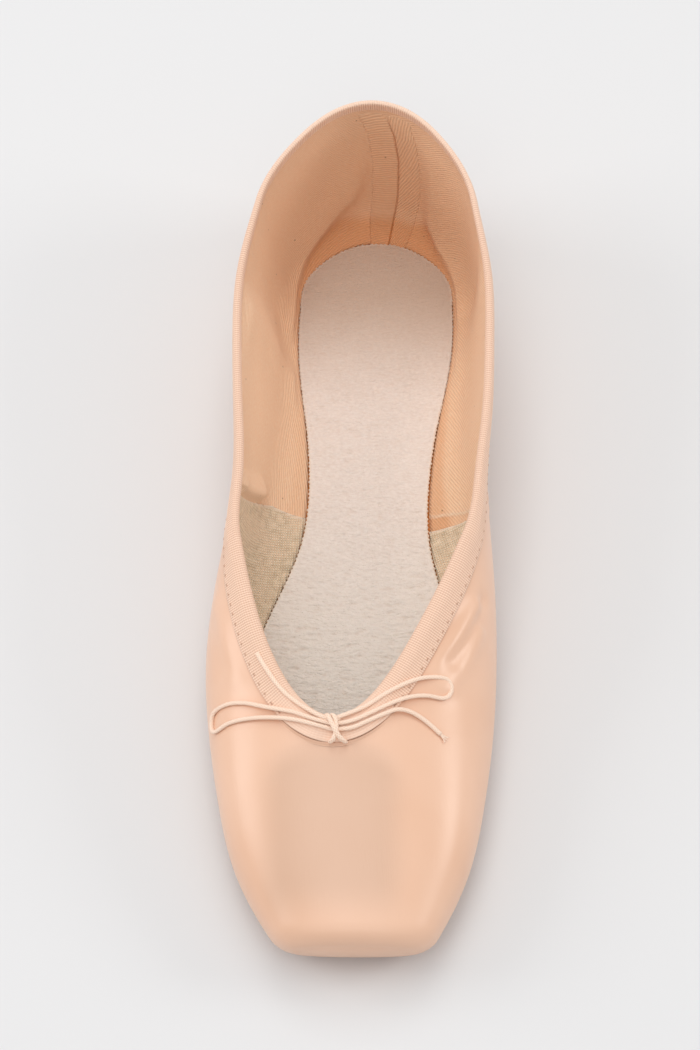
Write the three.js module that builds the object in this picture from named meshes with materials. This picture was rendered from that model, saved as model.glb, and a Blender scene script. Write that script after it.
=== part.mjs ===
// A soft ballet shoe with a small flattened toe. One satin upper is drawn over a straight last, so the
// shoe fits either foot, and a thin outsole is let into the opening under it. An insole board lies inside,
// a ribbed binding folds over the collar, and a thin drawstring is tied in a bow at the throat.
// Millimetres, +Z up, toe towards -Y, heel towards +Y, floor at Z = 0.

import * as THREE from 'three';

// Driving sizes
const LENGTH = 244; // from the toe platform to the back of the heel
const BALL_WIDTH = 77; // across the widest part of the upper
const INSTEP_HEIGHT = 35.2; // crown of the vamp at the throat
const HEEL_HEIGHT = 54; // collar at the back seam
const WALL = 1.8; // satin, canvas and lining together
const GAP = 0.3; // glue line between two pieces
const OUTSOLE_THICK = 2.4;
const INSOLE_THICK = 1.3;
const TAPE_THICK = 0.8; // binding, each leg
const TAPE_GAP = 0.45; // room for its stitches
const TAPE_OUTSIDE = 6; // binding below the collar, outside
const TAPE_INSIDE = 3; // binding below the collar, inside
const CORD = 1.2; // drawstring diameter
const KNOT_CORD = 1.5; // the doubled wrap of the knot

// Toe, arch and openings
const PLATFORM_ROUND = 4.5; // rounding of the platform's rim
const PLATFORM_DOME = 0.8; // how far the platform's middle stands out
const MIDDLE = LENGTH / 2 - PLATFORM_DOME; // the shoe's own middle, measured from the platform's rim
const RAKE = 0.22; // forward lean of the platform, per mm of height
const RAKE_REACH = 15; // the lean has died out this far from the toe
const TOE_SPRING = 1.6; // lift of the bottom at the toe
const TOE_SPRING_REACH = 40;
const ARCH_LIFT = 1.8; // lift of the waist between ball and heel
const ARCH_FROM = 106;
const ARCH_TO = 186;
const SOLE_FROM = 16; // front end of the outsole
const FEATHER_GAP = 0.6; // the opening's rim leans in, so it starts this far out
const OPENING_FROM = SOLE_FROM - FEATHER_GAP; // front end of the opening that the outsole fills
const INSOLE_INSET = 0.7; // the insole lies this far inside the outsole's outline
const SOLE_ROUND = 46; // length of its rounded front
const THROAT_AT = 54; // front end of the collar
const CROWN_OPENS = 24; // the sections' tops part over this length behind the throat
const THROAT_END = 105; // the collar leaves the throat's curve for the quarters' top line
const THROAT_SPREAD = 4.2; // half-width of the throat is this times the root of the depth

// Sections of the last, one row every STEP along the outline from the toe, the last two round the heel.
// Widths are shares of half the ball width. Rises are heights: 1 is the instep, 2 the back of the collar.
// edge and shoulder are the section's lower and upper corners, side is a point on the wall between them,
// top is the crown or the collar, mid and sway move the wall and the top line sideways.
const COLUMNS = ['mid', 'sole', 'edge', 'side', 'sideRise', 'shoulder', 'shoulderRise', 'top', 'topRise', 'sway'];
const ROWS = [
  [0.062, 0.74, 0.48, 0.494, 0.27, 0.44, 0.57, 0.0, 0.57, 0.062],
  [0.036, 0.74, 0.71, 0.764, 0.33, 0.66, 0.74, 0.0, 0.74, 0.026],
  [0.021, 0.74, 0.83, 0.894, 0.36, 0.78, 0.895, 0.0, 0.895, -0.055],
  [0.008, 0.745, 0.885, 0.966, 0.375, 0.805, 1.06, 0.0, 1.06, -0.1],
  [0.006, 0.735, 0.87, 0.992, 0.385, 0.87, 1.21, 0.42, 1.21, -0.058],
  [0.036, 0.62, 0.79, 0.945, 0.395, 0.915, 1.04, 0.779, 1.285, 0.005],
  [0.07, 0.46, 0.675, 0.84, 0.4, 0.89, 0.94, 0.837, 1.31, 0.052],
  [0.09, 0.432, 0.61, 0.76, 0.4, 0.88, 0.94, 0.874, 1.375, 0.068],
  [0.1, 0.485, 0.61, 0.74, 0.4, 0.88, 0.96, 0.895, 1.465, 0.062],
  [0.11, 0.56, 0.65, 0.755, 0.4, 0.88, 1.01, 0.879, 1.58, 0.06],
  [0.114, 0.555, 0.675, 0.742, 0.4, 0.792, 1.12, 0.774, 1.74, 0.067],
  [0.114, 0.51, 0.65, 0.715, 0.4, 0.752, 1.2, 0.718, 1.9, 0.087],
  [0.114, 0.52, 0.69, 0.79, 0.4, 0.838, 1.25, 0.798, 2.0, 0.096],
];
const STEP = 21;
const HEEL_ROW = 10; // the rows turn round a point on the centre line from here
const HEEL_AT = HEEL_ROW * STEP;
const BACK = (ROWS.length - 1) * STEP;
const TURN_PER_RUN = Math.PI / 2 / (BACK - HEEL_AT);

// Finishes
const SATIN = new THREE.MeshStandardMaterial({ color: 0xf0cdb4, roughness: 0.42, metalness: 0 });
const LEATHER = new THREE.MeshStandardMaterial({ color: 0xc8a583, roughness: 0.85, metalness: 0 });
const BOARD = new THREE.MeshStandardMaterial({ color: 0xdccfc0, roughness: 0.95, metalness: 0 });
const GROSGRAIN = new THREE.MeshStandardMaterial({ color: 0xf3cfb3, roughness: 0.7, metalness: 0 });
const BRAID = new THREE.MeshStandardMaterial({ color: 0xf8e2cf, roughness: 0.75, metalness: 0 });

// Smooth columns: the control values of a cubic B-spline that passes through the rows. It runs straight on
// at the toe and mirrors itself at the back of the heel. Each sweep halves the error.
const SPLINE_SWEEPS = 60;

function splineThrough(values) {
  const last = values.length - 1;
  const control = [...values];
  for (let sweep = 0; sweep < SPLINE_SWEEPS; sweep += 1) {
    for (let i = 1; i <= last; i += 1) {
      const after = i === last ? control[last - 1] : control[i + 1];
      control[i] = (6 * values[i] - control[i - 1] - after) / 4;
    }
  }
  return [2 * control[0] - control[1], ...control, control[last - 1]];
}

function inMillimetres(name, value) {
  if (!name.endsWith('Rise')) return (value * BALL_WIDTH) / 2;
  if (value < 1) return value * INSTEP_HEIGHT;
  return INSTEP_HEIGHT + (value - 1) * (HEEL_HEIGHT - INSTEP_HEIGHT);
}

const SPLINES = {};
COLUMNS.forEach((name, index) => {
  SPLINES[name] = splineThrough(ROWS.map((row) => inMillimetres(name, row[index])));
});

function column(name, run) {
  const place = THREE.MathUtils.clamp(run / STEP, 0, ROWS.length - 1);
  const row = Math.min(Math.floor(place), ROWS.length - 2);
  const s = place - row;
  const [a, b, c, d] = SPLINES[name].slice(row, row + 4);
  const fromB = 3 * s ** 3 - 6 * s ** 2 + 4;
  const fromC = -3 * s ** 3 + 3 * s ** 2 + 3 * s + 1;
  return (a * (1 - s) ** 3 + b * fromB + c * fromC + d * s ** 3) / 6;
}

// Lift of the whole bottom off the floor: toe spring in front, arch at the waist, flat at ball and heel
function lift(run) {
  const toe = Math.max(1 - run / TOE_SPRING_REACH, 0);
  const waist = THREE.MathUtils.clamp((run - ARCH_FROM) / (ARCH_TO - ARCH_FROM), 0, 1);
  return TOE_SPRING * toe ** 2 + ARCH_LIFT * Math.sin(Math.PI * waist) ** 2;
}

// Half-width inside the outsole's outline, an ellipse at the front and the sole column behind it
function soleReach(run, inset) {
  const ahead = THREE.MathUtils.clamp((SOLE_FROM + SOLE_ROUND - run) / (SOLE_ROUND - inset), 0, 1);
  return (column('sole', run) - inset) * Math.sqrt(1 - ahead ** 2);
}

function bezier(a, b, c, d, s) {
  const t = 1 - s;
  return a * t ** 3 + 3 * b * s * t ** 2 + 3 * c * s ** 2 * t + d * s ** 3;
}

// One section: share 0 is the bottom's middle, 0.5 the side point, 1 the crown or the collar. Two curves
// meet at the side point, where both run parallel to the line from the lower to the upper corner.
function alongSection(bottom, edge, side, shoulder, top, share) {
  const lean = (shoulder - edge) / 4;
  if (share < 0.5) return bezier(bottom, edge, side - lean, side, share * 2);
  return bezier(side, side + lean, shoulder, top, share * 2 - 1);
}

// Half-width at a section's top: closed at the crown in front of the throat, open behind it
function topReach(run) {
  return column('top', run) * THREE.MathUtils.smoothstep(run, THROAT_AT, THROAT_AT + CROWN_OPENS);
}

function sectionReach(run, share) {
  const shoulder = column('shoulder', run);
  return alongSection(0, column('edge', run), column('side', run), shoulder, topReach(run), share);
}

function sectionHeight(run, share) {
  const low = lift(run);
  const side = low + column('sideRise', run);
  return alongSection(low, low, side, column('shoulderRise', run), column('topRise', run), share);
}

// The centre line of the walls and the sole, straight behind the point that the heel turns round
function centreLine(run) {
  return column('mid', Math.min(run, HEEL_AT));
}

// A point of the last. hand is -1 for the left half and 1 for the right half.
function onLast(run, share, hand) {
  const inFront = Math.max(PLATFORM_ROUND - run, 0);
  const inset = PLATFORM_ROUND - Math.sqrt(PLATFORM_ROUND ** 2 - inFront ** 2);
  const low = lift(run);
  const top = column('topRise', run);
  const middle = (low + top) / 2;
  const reach = sectionReach(run, share) * (1 - inset / column('side', run));
  const above = (sectionHeight(run, share) - middle) * (1 - (2 * inset) / (top - low));
  const turn = Math.max(run - HEEL_AT, 0) * TURN_PER_RUN;
  const upper = Math.max(share * 2 - 1, 0);
  const mid = centreLine(run) + (column('sway', run) - centreLine(run)) * upper;
  const rake = RAKE * Math.max(1 - run / RAKE_REACH, 0) ** 2;
  const x = mid + hand * reach * Math.cos(turn);
  const y = Math.min(run, HEEL_AT) + reach * Math.sin(turn) - rake * above - MIDDLE;
  return new THREE.Vector3(x, y, middle + above);
}

// The share at which a section's half-width passes a wanted value, between two shares on either side of it
const HALVINGS = 40;

function shareAt(run, wanted, inside, outside) {
  let narrow = inside;
  let wide = outside;
  for (let i = 0; i < HALVINGS; i += 1) {
    const between = (narrow + wide) / 2;
    if (sectionReach(run, between) < wanted) narrow = between;
    else wide = between;
  }
  return narrow;
}

const WALL_SHARE = 0.6; // on the wall, well outside the throat

function collarShare(run) {
  if (run <= THROAT_AT || run >= THROAT_END) return 1;
  const wanted = THROAT_SPREAD * Math.sqrt(run - THROAT_AT);
  return wanted <= topReach(run) ? 1 : shareAt(run, wanted, 1, WALL_SHARE);
}

function featherShare(run) {
  if (run <= OPENING_FROM) return 0;
  return shareAt(run, soleReach(run, -FEATHER_GAP), 0, 0.5);
}

// Stations along the outline, closer where the toe turns and where an opening starts
function spread(from, to, count, power) {
  return Array.from({ length: count }, (_, i) => from + (to - from) * (i / count) ** power);
}

const TOE_STATIONS = [...spread(0, PLATFORM_ROUND, 4, 1.6), ...spread(PLATFORM_ROUND, OPENING_FROM, 3, 1), OPENING_FROM];
const VAMP_STATIONS = spread(SOLE_FROM, THROAT_AT, 7, 1.8);
const THROAT_STATIONS = spread(THROAT_AT, THROAT_END, 13, 1.8);
const HEEL_STATIONS = [...spread(HEEL_AT, BACK, 9, 1), BACK];
const QUARTER_STATIONS = spread(THROAT_END, HEEL_AT, 12, 1);
const COLLAR_STATIONS = [...THROAT_STATIONS, ...QUARTER_STATIONS, ...HEEL_STATIONS];
const STATIONS = [...TOE_STATIONS, ...VAMP_STATIONS, ...COLLAR_STATIONS];

// A sheet gathers points, shares those that fall together, and drops faces that shrink to a line
const MERGE_STEPS = 1000; // per mm

class Sheet {
  points = [];
  faces = [];
  found = new Map();

  point(place) {
    const key = place.toArray().map((value) => Math.round(value * MERGE_STEPS)).join();
    if (!this.found.has(key)) {
      this.found.set(key, this.points.length);
      this.points.push(place.clone());
    }
    return this.found.get(key);
  }

  face(a, b, c) {
    if (a !== b && b !== c && c !== a) this.faces.push([a, b, c]);
  }

  // Rows of points become strips of faces, turned over where flip is set
  grid(rows, flip) {
    const marks = rows.map((row) => row.map((place) => this.point(place)));
    for (let i = 1; i < marks.length; i += 1) {
      for (let j = 1; j < marks[i].length; j += 1) {
        const corners = [marks[i - 1][j - 1], marks[i][j - 1], marks[i][j], marks[i - 1][j]];
        const [a, b, c, d] = flip ? corners.reverse() : corners;
        this.face(a, b, c);
        this.face(a, c, d);
      }
    }
  }

  geometry() {
    const made = new THREE.BufferGeometry();
    made.setAttribute('position', new THREE.Float32BufferAttribute(this.points.flatMap((p) => p.toArray()), 3));
    made.setIndex(this.faces.flat());
    made.computeVertexNormals();
    return made;
  }
}

// A sheet with a wall behind it: the inner points lie one wall in along the normals, and a rim of faces
// closes every open edge
function thicken(sheet, wall) {
  const normals = sheet.geometry().getAttribute('normal');
  const count = sheet.points.length;
  const solid = new Sheet();
  const normal = new THREE.Vector3();
  sheet.points.forEach((place, i) => {
    normal.fromBufferAttribute(normals, i);
    solid.points[i] = place;
    solid.points[count + i] = place.clone().addScaledVector(normal, -wall);
  });
  const edges = new Set(sheet.faces.flatMap(([a, b, c]) => [`${a},${b}`, `${b},${c}`, `${c},${a}`]));
  for (const [a, b, c] of sheet.faces) {
    solid.face(a, b, c);
    solid.face(count + c, count + b, count + a);
    for (const [from, to] of [[a, b], [b, c], [c, a]]) {
      if (edges.has(`${to},${from}`)) continue;
      solid.face(to, from, count + from);
      solid.face(to, count + from, count + to);
    }
  }
  return solid.geometry();
}

// Upper: both halves of the wall from the feather edge to the collar, and the domed platform in front
const WALL_POINTS = 13;
const PLATFORM_RINGS = [1, 0.7, 0.35, 0];

function upperGeometry() {
  const sheet = new Sheet();
  const shares = Array.from({ length: WALL_POINTS + 1 }, (_, j) => j / WALL_POINTS);
  for (const hand of [-1, 1]) {
    const rows = STATIONS.map((run) => {
      const feather = featherShare(run);
      const collar = collarShare(run);
      return shares.map((share) => onLast(run, feather + (collar - feather) * share, hand));
    });
    sheet.grid(rows, hand < 0);
    const rim = rows[0];
    const centre = rim[0].clone().lerp(rim[WALL_POINTS], 0.5);
    const rings = PLATFORM_RINGS.map((size) => rim.map((place) => {
      const moved = centre.clone().lerp(place, size);
      moved.y -= PLATFORM_DOME * (1 - size ** 2);
      return moved;
    }));
    sheet.grid(rings, hand > 0);
  }
  return thicken(sheet, WALL);
}

// Outsole and insole: a flat plate inside the sole's outline that follows the lift of the bottom
const LEAST_STEP = 0.5; // no station lies closer than this behind a plate's front end
const PLATE_SHARES = [-1, -0.75, -0.35, 0, 0.35, 0.75, 1];

function plateGeometry(inset, topHeight, thick) {
  const sheet = new Sheet();
  const front = SOLE_FROM + inset;
  const rows = [front, ...STATIONS.filter((run) => run > front + LEAST_STEP)].map((run) => {
    const turn = Math.max(run - HEEL_AT, 0) * TURN_PER_RUN;
    const reach = soleReach(run, inset);
    return PLATE_SHARES.map((share) => {
      const y = Math.min(run, HEEL_AT) + Math.abs(share) * reach * Math.sin(turn) - MIDDLE;
      const x = centreLine(run) + share * reach * Math.cos(turn);
      return new THREE.Vector3(x, y, lift(run) + topHeight);
    });
  });
  sheet.grid(rows, true);
  return thicken(sheet, thick);
}

// Directions on the last
const NUDGE = 0.01;

function slopes(run, share, hand) {
  const forward = onLast(Math.min(run + NUDGE, BACK), share, hand);
  const alongRun = forward.sub(onLast(run - NUDGE, share, hand));
  alongRun.divideScalar(Math.min(run + NUDGE, BACK) - run + NUDGE);
  const above = Math.min(share + NUDGE, 1);
  const alongShare = onLast(run, above, hand).sub(onLast(run, share - NUDGE, hand));
  alongShare.divideScalar(above - share + NUDGE);
  const normal = alongRun.clone().cross(alongShare).multiplyScalar(hand).normalize();
  return { alongRun, alongShare, normal };
}

// Walk over the last from a point, straight ahead in the wanted direction, in short strides
const STRIDE = 0.7;

function walk(start, direction, distance) {
  let { run, share } = start;
  const { hand } = start;
  const heading = direction.clone();
  const strides = Math.ceil(distance / STRIDE);
  for (let i = 0; i < strides; i += 1) {
    const { alongRun, alongShare, normal } = slopes(run, share, hand);
    heading.addScaledVector(normal, -heading.dot(normal)).normalize();
    const runRun = alongRun.dot(alongRun);
    const runShare = alongRun.dot(alongShare);
    const shareShare = alongShare.dot(alongShare);
    const scale = distance / strides / (runRun * shareShare - runShare ** 2);
    const byRun = heading.dot(alongRun);
    const byShare = heading.dot(alongShare);
    run = Math.min(run + scale * (byRun * shareShare - byShare * runShare), BACK);
    share = Math.min(share + scale * (byShare * runRun - byRun * runShare), 1);
  }
  return { place: onLast(run, share, hand), normal: slopes(run, share, hand).normal };
}

// Binding: a tape folded over the collar. Its section is a U that follows the wall outside and inside.
const TAPE_STEPS = [1, 0.66, 0.33];
const FOLD_ANGLES = [0, 0.25, 0.5, 0.75, 1].map((part) => part * Math.PI);

function collarRing() {
  const mark = (run, hand) => ({ run, hand, share: collarShare(run), place: onLast(run, collarShare(run), hand) });
  const right = COLLAR_STATIONS.map((run) => mark(run, 1));
  const left = COLLAR_STATIONS.slice(1, -1).map((run) => mark(run, -1)).reverse();
  return [...right, ...left];
}

function bindingGeometry() {
  const ring = collarRing();
  const rows = ring.map((mark, i) => {
    const before = ring[(i + ring.length - 1) % ring.length].place;
    const after = ring[(i + 1) % ring.length].place;
    const { normal } = slopes(mark.run, mark.share, mark.hand);
    const down = after.clone().sub(before).cross(normal).normalize();
    const middle = mark.place.clone().addScaledVector(normal, -WALL / 2);
    const face = (away) => {
      const outside = TAPE_STEPS.map((step) => {
        const spot = walk(mark, down, TAPE_OUTSIDE * step);
        return spot.place.addScaledVector(spot.normal, away);
      });
      const fold = FOLD_ANGLES.map((angle) => {
        const radius = WALL / 2 + away;
        const turned = middle.clone().addScaledVector(normal, radius * Math.cos(angle));
        return turned.addScaledVector(down, -radius * Math.sin(angle));
      });
      const spot = walk(mark, down, TAPE_INSIDE);
      const inside = spot.place.addScaledVector(spot.normal, -WALL - away);
      return [...outside, ...fold, inside];
    };
    const loop = [...face(TAPE_GAP + TAPE_THICK), ...face(TAPE_GAP).reverse()];
    return [...loop, loop[0]];
  });
  const sheet = new Sheet();
  sheet.grid([...rows, rows[0]], false);
  return sheet.geometry();
}

// Drawstring: the knot's wrap stands over three lanes of strands, and loops and ends lie on the vamp
const CORD_SIDES = 8;
const CORD_STEP = 2.5; // diameters
const ON_TAPE = TAPE_GAP + TAPE_THICK + GAP + CORD / 2; // height of a strand's middle above the last
const ON_SATIN = 2 * GAP + CORD / 2;
const LANE = CORD + GAP;
const WRAP_REACH = 1.5 * LANE + CORD / 2 + KNOT_CORD / 2; // half the wrap's length along the vamp
const WRAP_RISE = CORD + KNOT_CORD / 2 + 2 * GAP;
const KNOT_RUN = THROAT_AT - TAPE_OUTSIDE / 4;
const KNOT_PLACE = onLast(KNOT_RUN, 1, 1);
const KNOT_SLOPES = slopes(KNOT_RUN, 1, 1);

// A place beside the knot: its distances to the right, back along the vamp and up from the last
function besideKnot([right, back, up]) {
  const along = KNOT_SLOPES.alongRun.clone().normalize();
  const place = KNOT_PLACE.clone().addScaledVector(along, back).addScaledVector(KNOT_SLOPES.normal, up);
  place.x += right;
  return place;
}

// A place on the vamp: run, distance across from the shoe's centre plane, height above the last
function onVamp([run, x, up]) {
  const hand = x < onLast(run, 1, 1).x ? -1 : 1;
  let below = WALL_SHARE;
  let above = 1;
  for (let i = 0; i < HALVINGS; i += 1) {
    const share = (below + above) / 2;
    if ((onLast(run, share, hand).x - x) * hand > 0) below = share;
    else above = share;
  }
  return onLast(run, below, hand).addScaledVector(slopes(run, below, hand).normal, up);
}

function cordGeometry(places, diameter) {
  const path = new THREE.CatmullRomCurve3(places, false, 'centripetal');
  const shape = new THREE.Shape();
  for (let i = 0; i < CORD_SIDES; i += 1) {
    const angle = (2 * Math.PI * i) / CORD_SIDES;
    const x = (diameter / 2) * Math.cos(angle);
    const y = (diameter / 2) * Math.sin(angle);
    if (i === 0) shape.moveTo(x, y);
    else shape.lineTo(x, y);
  }
  shape.closePath();
  const steps = Math.ceil(path.getLength() / (CORD_STEP * diameter));
  return new THREE.ExtrudeGeometry(shape, { steps, bevelEnabled: false, extrudePath: path });
}

// Wrap of the knot: an arch over the strands, from the binding's outer edge to the collar
const WRAP_POINTS = 9;

function wrapPlaces() {
  return Array.from({ length: WRAP_POINTS }, (_, i) => {
    const angle = (Math.PI * i) / (WRAP_POINTS - 1);
    const up = ON_TAPE + KNOT_CORD / 2 - CORD / 2 + WRAP_RISE * Math.sin(angle);
    return besideKnot([0, -WRAP_REACH * Math.cos(angle), up]);
  });
}

// Routes of the strands, from the knot outwards. The first and last places of a loop are beside the knot.
const LEFT_LOOP = [
  besideKnot([-1, 0, ON_TAPE]),
  ...[[53.9, -8, ON_TAPE], [56, -13.4, ON_TAPE], [58, -20.2, ON_TAPE], [60.4, -26, ON_SATIN + 0.35],
    [61.8, -30.6, ON_SATIN], [62.1, -33.9, ON_SATIN], [60.9, -34.8, ON_SATIN], [58.6, -34.9, ON_SATIN],
    [57.1, -34.2, ON_SATIN], [56.8, -30.6, ON_SATIN], [56.2, -26, ON_SATIN + 0.2], [55.4, -20.2, ON_TAPE - 0.3],
    [54.1, -13.4, ON_TAPE]].map(onVamp),
  besideKnot([-2.6, -LANE, ON_TAPE]),
];
const LEFT_END = [
  besideKnot([1.6, LANE, ON_TAPE]),
  ...[[55.7, -8.4, ON_TAPE], [59.2, -13.4, ON_TAPE], [62.4, -16.6, ON_TAPE], [67.4, -20, ON_TAPE],
    [72.8, -23, ON_TAPE]].map(onVamp),
];
const RIGHT_LOOP = [
  besideKnot([2.6, LANE, ON_TAPE]),
  ...[[57.2, 4.4, ON_TAPE], [61, 9.6, ON_TAPE], [64.2, 14.4, ON_TAPE], [66.8, 19.4, ON_TAPE],
    [68.1, 24.2, ON_TAPE], [67.3, 25.8, ON_TAPE], [65.5, 26.4, ON_TAPE], [63.7, 25.8, ON_TAPE],
    [62.8, 24.2, ON_TAPE], [62.2, 20, ON_TAPE], [60.8, 15.4, ON_TAPE], [58.6, 11, ON_TAPE]].map(onVamp),
  besideKnot([5, 1, ON_TAPE]),
  besideKnot([1, 0, ON_TAPE]),
];
const RIGHT_END = [
  besideKnot([-0.8, -LANE, ON_TAPE]),
  ...[[51.7, 1.4, ON_TAPE], [53.6, 5.4, ON_TAPE], [55.7, 9.4, ON_TAPE], [57.2, 12.8, ON_TAPE],
    [57.2, 15.8, ON_TAPE - 0.4], [56.2, 18.6, ON_SATIN + 0.2], [54.7, 21.2, ON_SATIN],
    [52.8, 23.8, ON_SATIN]].map(onVamp),
];

function named(name, geometry, material) {
  const mesh = new THREE.Mesh(geometry, material);
  mesh.name = name;
  return mesh;
}

const shoe = new THREE.Group();
shoe.add(named('upper', upperGeometry(), SATIN));
shoe.add(named('outsole', plateGeometry(0, OUTSOLE_THICK, OUTSOLE_THICK), LEATHER));
const INSOLE_TOP = OUTSOLE_THICK + GAP + INSOLE_THICK;
shoe.add(named('insole', plateGeometry(INSOLE_INSET, INSOLE_TOP, INSOLE_THICK), BOARD));
shoe.add(named('binding', bindingGeometry(), GROSGRAIN));
shoe.add(named('drawstring_knot', cordGeometry(wrapPlaces(), KNOT_CORD), BRAID));
shoe.add(named('drawstring_loop_left', cordGeometry(LEFT_LOOP, CORD), BRAID));
shoe.add(named('drawstring_end_left', cordGeometry(LEFT_END, CORD), BRAID));
shoe.add(named('drawstring_loop_right', cordGeometry(RIGHT_LOOP, CORD), BRAID));
shoe.add(named('drawstring_end_right', cordGeometry(RIGHT_END, CORD), BRAID));

export default shoe;
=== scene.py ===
# %% [markdown]
# # A demi-pointe shoe
# A soft ballet shoe of peach satin with a small flattened toe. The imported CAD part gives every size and
# place, and this lesson dresses it: satin outside, canvas and twill inside, a ribbed tape folded over the
# collar, a napped insole, a leather outsole, and a thin drawstring tied in a bow at the throat.

import bpy
import numpy as np
from mathutils import Matrix


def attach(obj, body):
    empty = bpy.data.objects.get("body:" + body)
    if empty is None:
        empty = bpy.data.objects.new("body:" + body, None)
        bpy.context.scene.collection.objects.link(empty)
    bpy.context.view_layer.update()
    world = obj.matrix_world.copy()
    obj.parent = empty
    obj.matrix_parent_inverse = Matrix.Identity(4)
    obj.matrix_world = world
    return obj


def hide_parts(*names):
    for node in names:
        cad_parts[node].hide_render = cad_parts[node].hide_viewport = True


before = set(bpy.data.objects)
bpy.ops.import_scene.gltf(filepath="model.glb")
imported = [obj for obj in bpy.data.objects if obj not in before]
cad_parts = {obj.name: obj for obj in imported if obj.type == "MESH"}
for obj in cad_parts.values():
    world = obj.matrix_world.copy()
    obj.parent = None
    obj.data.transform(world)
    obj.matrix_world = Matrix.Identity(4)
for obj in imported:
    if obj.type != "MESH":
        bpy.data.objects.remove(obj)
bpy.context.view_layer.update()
MM = 0.001  # shapes are worked out in millimetres and become metres when a mesh is made

# %% [markdown]
# ## Camera
# The photo was taken from in front of the toe, looking down at 57 degrees through a long lens. The camera
# keeps that place and turns a little about its own upright axis, to bring the shoe into the middle of the
# picture. The shoe's long axis stays as upright there as it was.

# %% Camera
CAMERA_PLACE = np.array([38.0, -568.4, 896.6])
CAMERA_AIM = np.array([-0.9, 1.7, 20.0])  # this point is in the middle of the picture
FOCAL_PIXELS = 3900  # in a picture 1050 pixels high
PICTURE_HEIGHT = 1050
SENSOR = 36.0


def unit(vectors):
    """Vectors divided by their own lengths."""
    return vectors / np.linalg.norm(vectors, axis=-1, keepdims=True)


ahead = unit(CAMERA_AIM - CAMERA_PLACE)
across = unit(np.array([1.0, 0.0, 0.0]) - ahead[0] * ahead)
upright = np.cross(across, ahead)
camera = bpy.data.objects.new("camera", bpy.data.cameras.new("camera"))
camera.data.sensor_width = SENSOR
camera.data.lens = SENSOR * FOCAL_PIXELS / PICTURE_HEIGHT
camera.data.clip_start = 0.01
turn = np.eye(4)
turn[:3, 0], turn[:3, 1], turn[:3, 2], turn[:3, 3] = across, upright, -ahead, CAMERA_PLACE * MM
camera.matrix_world = Matrix(turn.tolist())
bpy.context.scene.collection.objects.link(camera)
bpy.context.scene.camera = camera
print("lens", round(camera.data.lens, 1), "mm")

# %% [markdown]
# ## The last
# A shoemaker stretches the cloth over a last, and every piece here follows one too. The last is a surface
# with two parameters: run, in millimetres along the outline from the toe and round the heel, and share,
# from the bottom's middle (0) over the side (0.5) to the crown or the collar (1). A few rows of section
# sizes, the same as in the part's source, give the whole shape: splines carry them along the shoe.

# %% Sizes of the last
LENGTH = 244
BALL_WIDTH = 77
INSTEP_HEIGHT = 35.2
HEEL_HEIGHT = 54
OUTSOLE_THICK, INSOLE_THICK, GLUE = 2.4, 1.3, 0.3
TAPE_OUTSIDE = 6.0  # width of the binding's outer leg
CORD = 1.2
PLATFORM_ROUND, PLATFORM_DOME = 4.5, 0.8
RAKE, RAKE_REACH = 0.22, 15
TOE_SPRING, TOE_SPRING_REACH = 1.6, 40
ARCH_LIFT, ARCH_FROM, ARCH_TO = 1.8, 106, 186
SOLE_FROM, SOLE_ROUND, FEATHER_GAP, INSOLE_INSET = 16, 46, 0.6, 0.7
THROAT_AT, THROAT_END, THROAT_SPREAD, CROWN_OPENS = 54, 105, 4.2, 24
MIDDLE = LENGTH / 2 - PLATFORM_DOME
COLUMNS = ["mid", "sole", "edge", "side", "sideRise", "shoulder", "shoulderRise", "top", "topRise", "sway"]
ROWS = np.array([
    [0.062, 0.74, 0.48, 0.494, 0.27, 0.44, 0.57, 0.0, 0.57, 0.062],
    [0.036, 0.74, 0.71, 0.764, 0.33, 0.66, 0.74, 0.0, 0.74, 0.026],
    [0.021, 0.74, 0.83, 0.894, 0.36, 0.78, 0.895, 0.0, 0.895, -0.055],
    [0.008, 0.745, 0.885, 0.966, 0.375, 0.805, 1.06, 0.0, 1.06, -0.1],
    [0.006, 0.735, 0.87, 0.992, 0.385, 0.87, 1.21, 0.42, 1.21, -0.058],
    [0.036, 0.62, 0.79, 0.945, 0.395, 0.915, 1.04, 0.779, 1.285, 0.005],
    [0.07, 0.46, 0.675, 0.84, 0.4, 0.89, 0.94, 0.837, 1.31, 0.052],
    [0.09, 0.432, 0.61, 0.76, 0.4, 0.88, 0.94, 0.874, 1.375, 0.068],
    [0.1, 0.485, 0.61, 0.74, 0.4, 0.88, 0.96, 0.895, 1.465, 0.062],
    [0.11, 0.56, 0.65, 0.755, 0.4, 0.88, 1.01, 0.879, 1.58, 0.06],
    [0.114, 0.555, 0.675, 0.742, 0.4, 0.792, 1.12, 0.774, 1.74, 0.067],
    [0.114, 0.51, 0.65, 0.715, 0.4, 0.752, 1.2, 0.718, 1.9, 0.087],
    [0.114, 0.52, 0.69, 0.79, 0.4, 0.838, 1.25, 0.798, 2.0, 0.096],
])
STEP = 21  # from row to row
HEEL_AT = 10 * STEP  # from here the rows turn round the heel
BACK = (len(ROWS) - 1) * STEP
TURN_PER_RUN = np.pi / 2 / (BACK - HEEL_AT)


def spline_through(values):
    """Control values of the cubic B-spline through the rows: straight on at the toe, mirrored at the
    back."""
    count = len(values)
    system = np.eye(count + 2, k=-1) / 6 + np.eye(count + 2) * 4 / 6 + np.eye(count + 2, k=1) / 6
    system[0, :3] = 1, -2, 1
    system[-1] = 0
    system[-1, [-3, -1]] = 1, -1
    return np.linalg.solve(system, np.concatenate([[0], values, [0]]))


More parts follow.
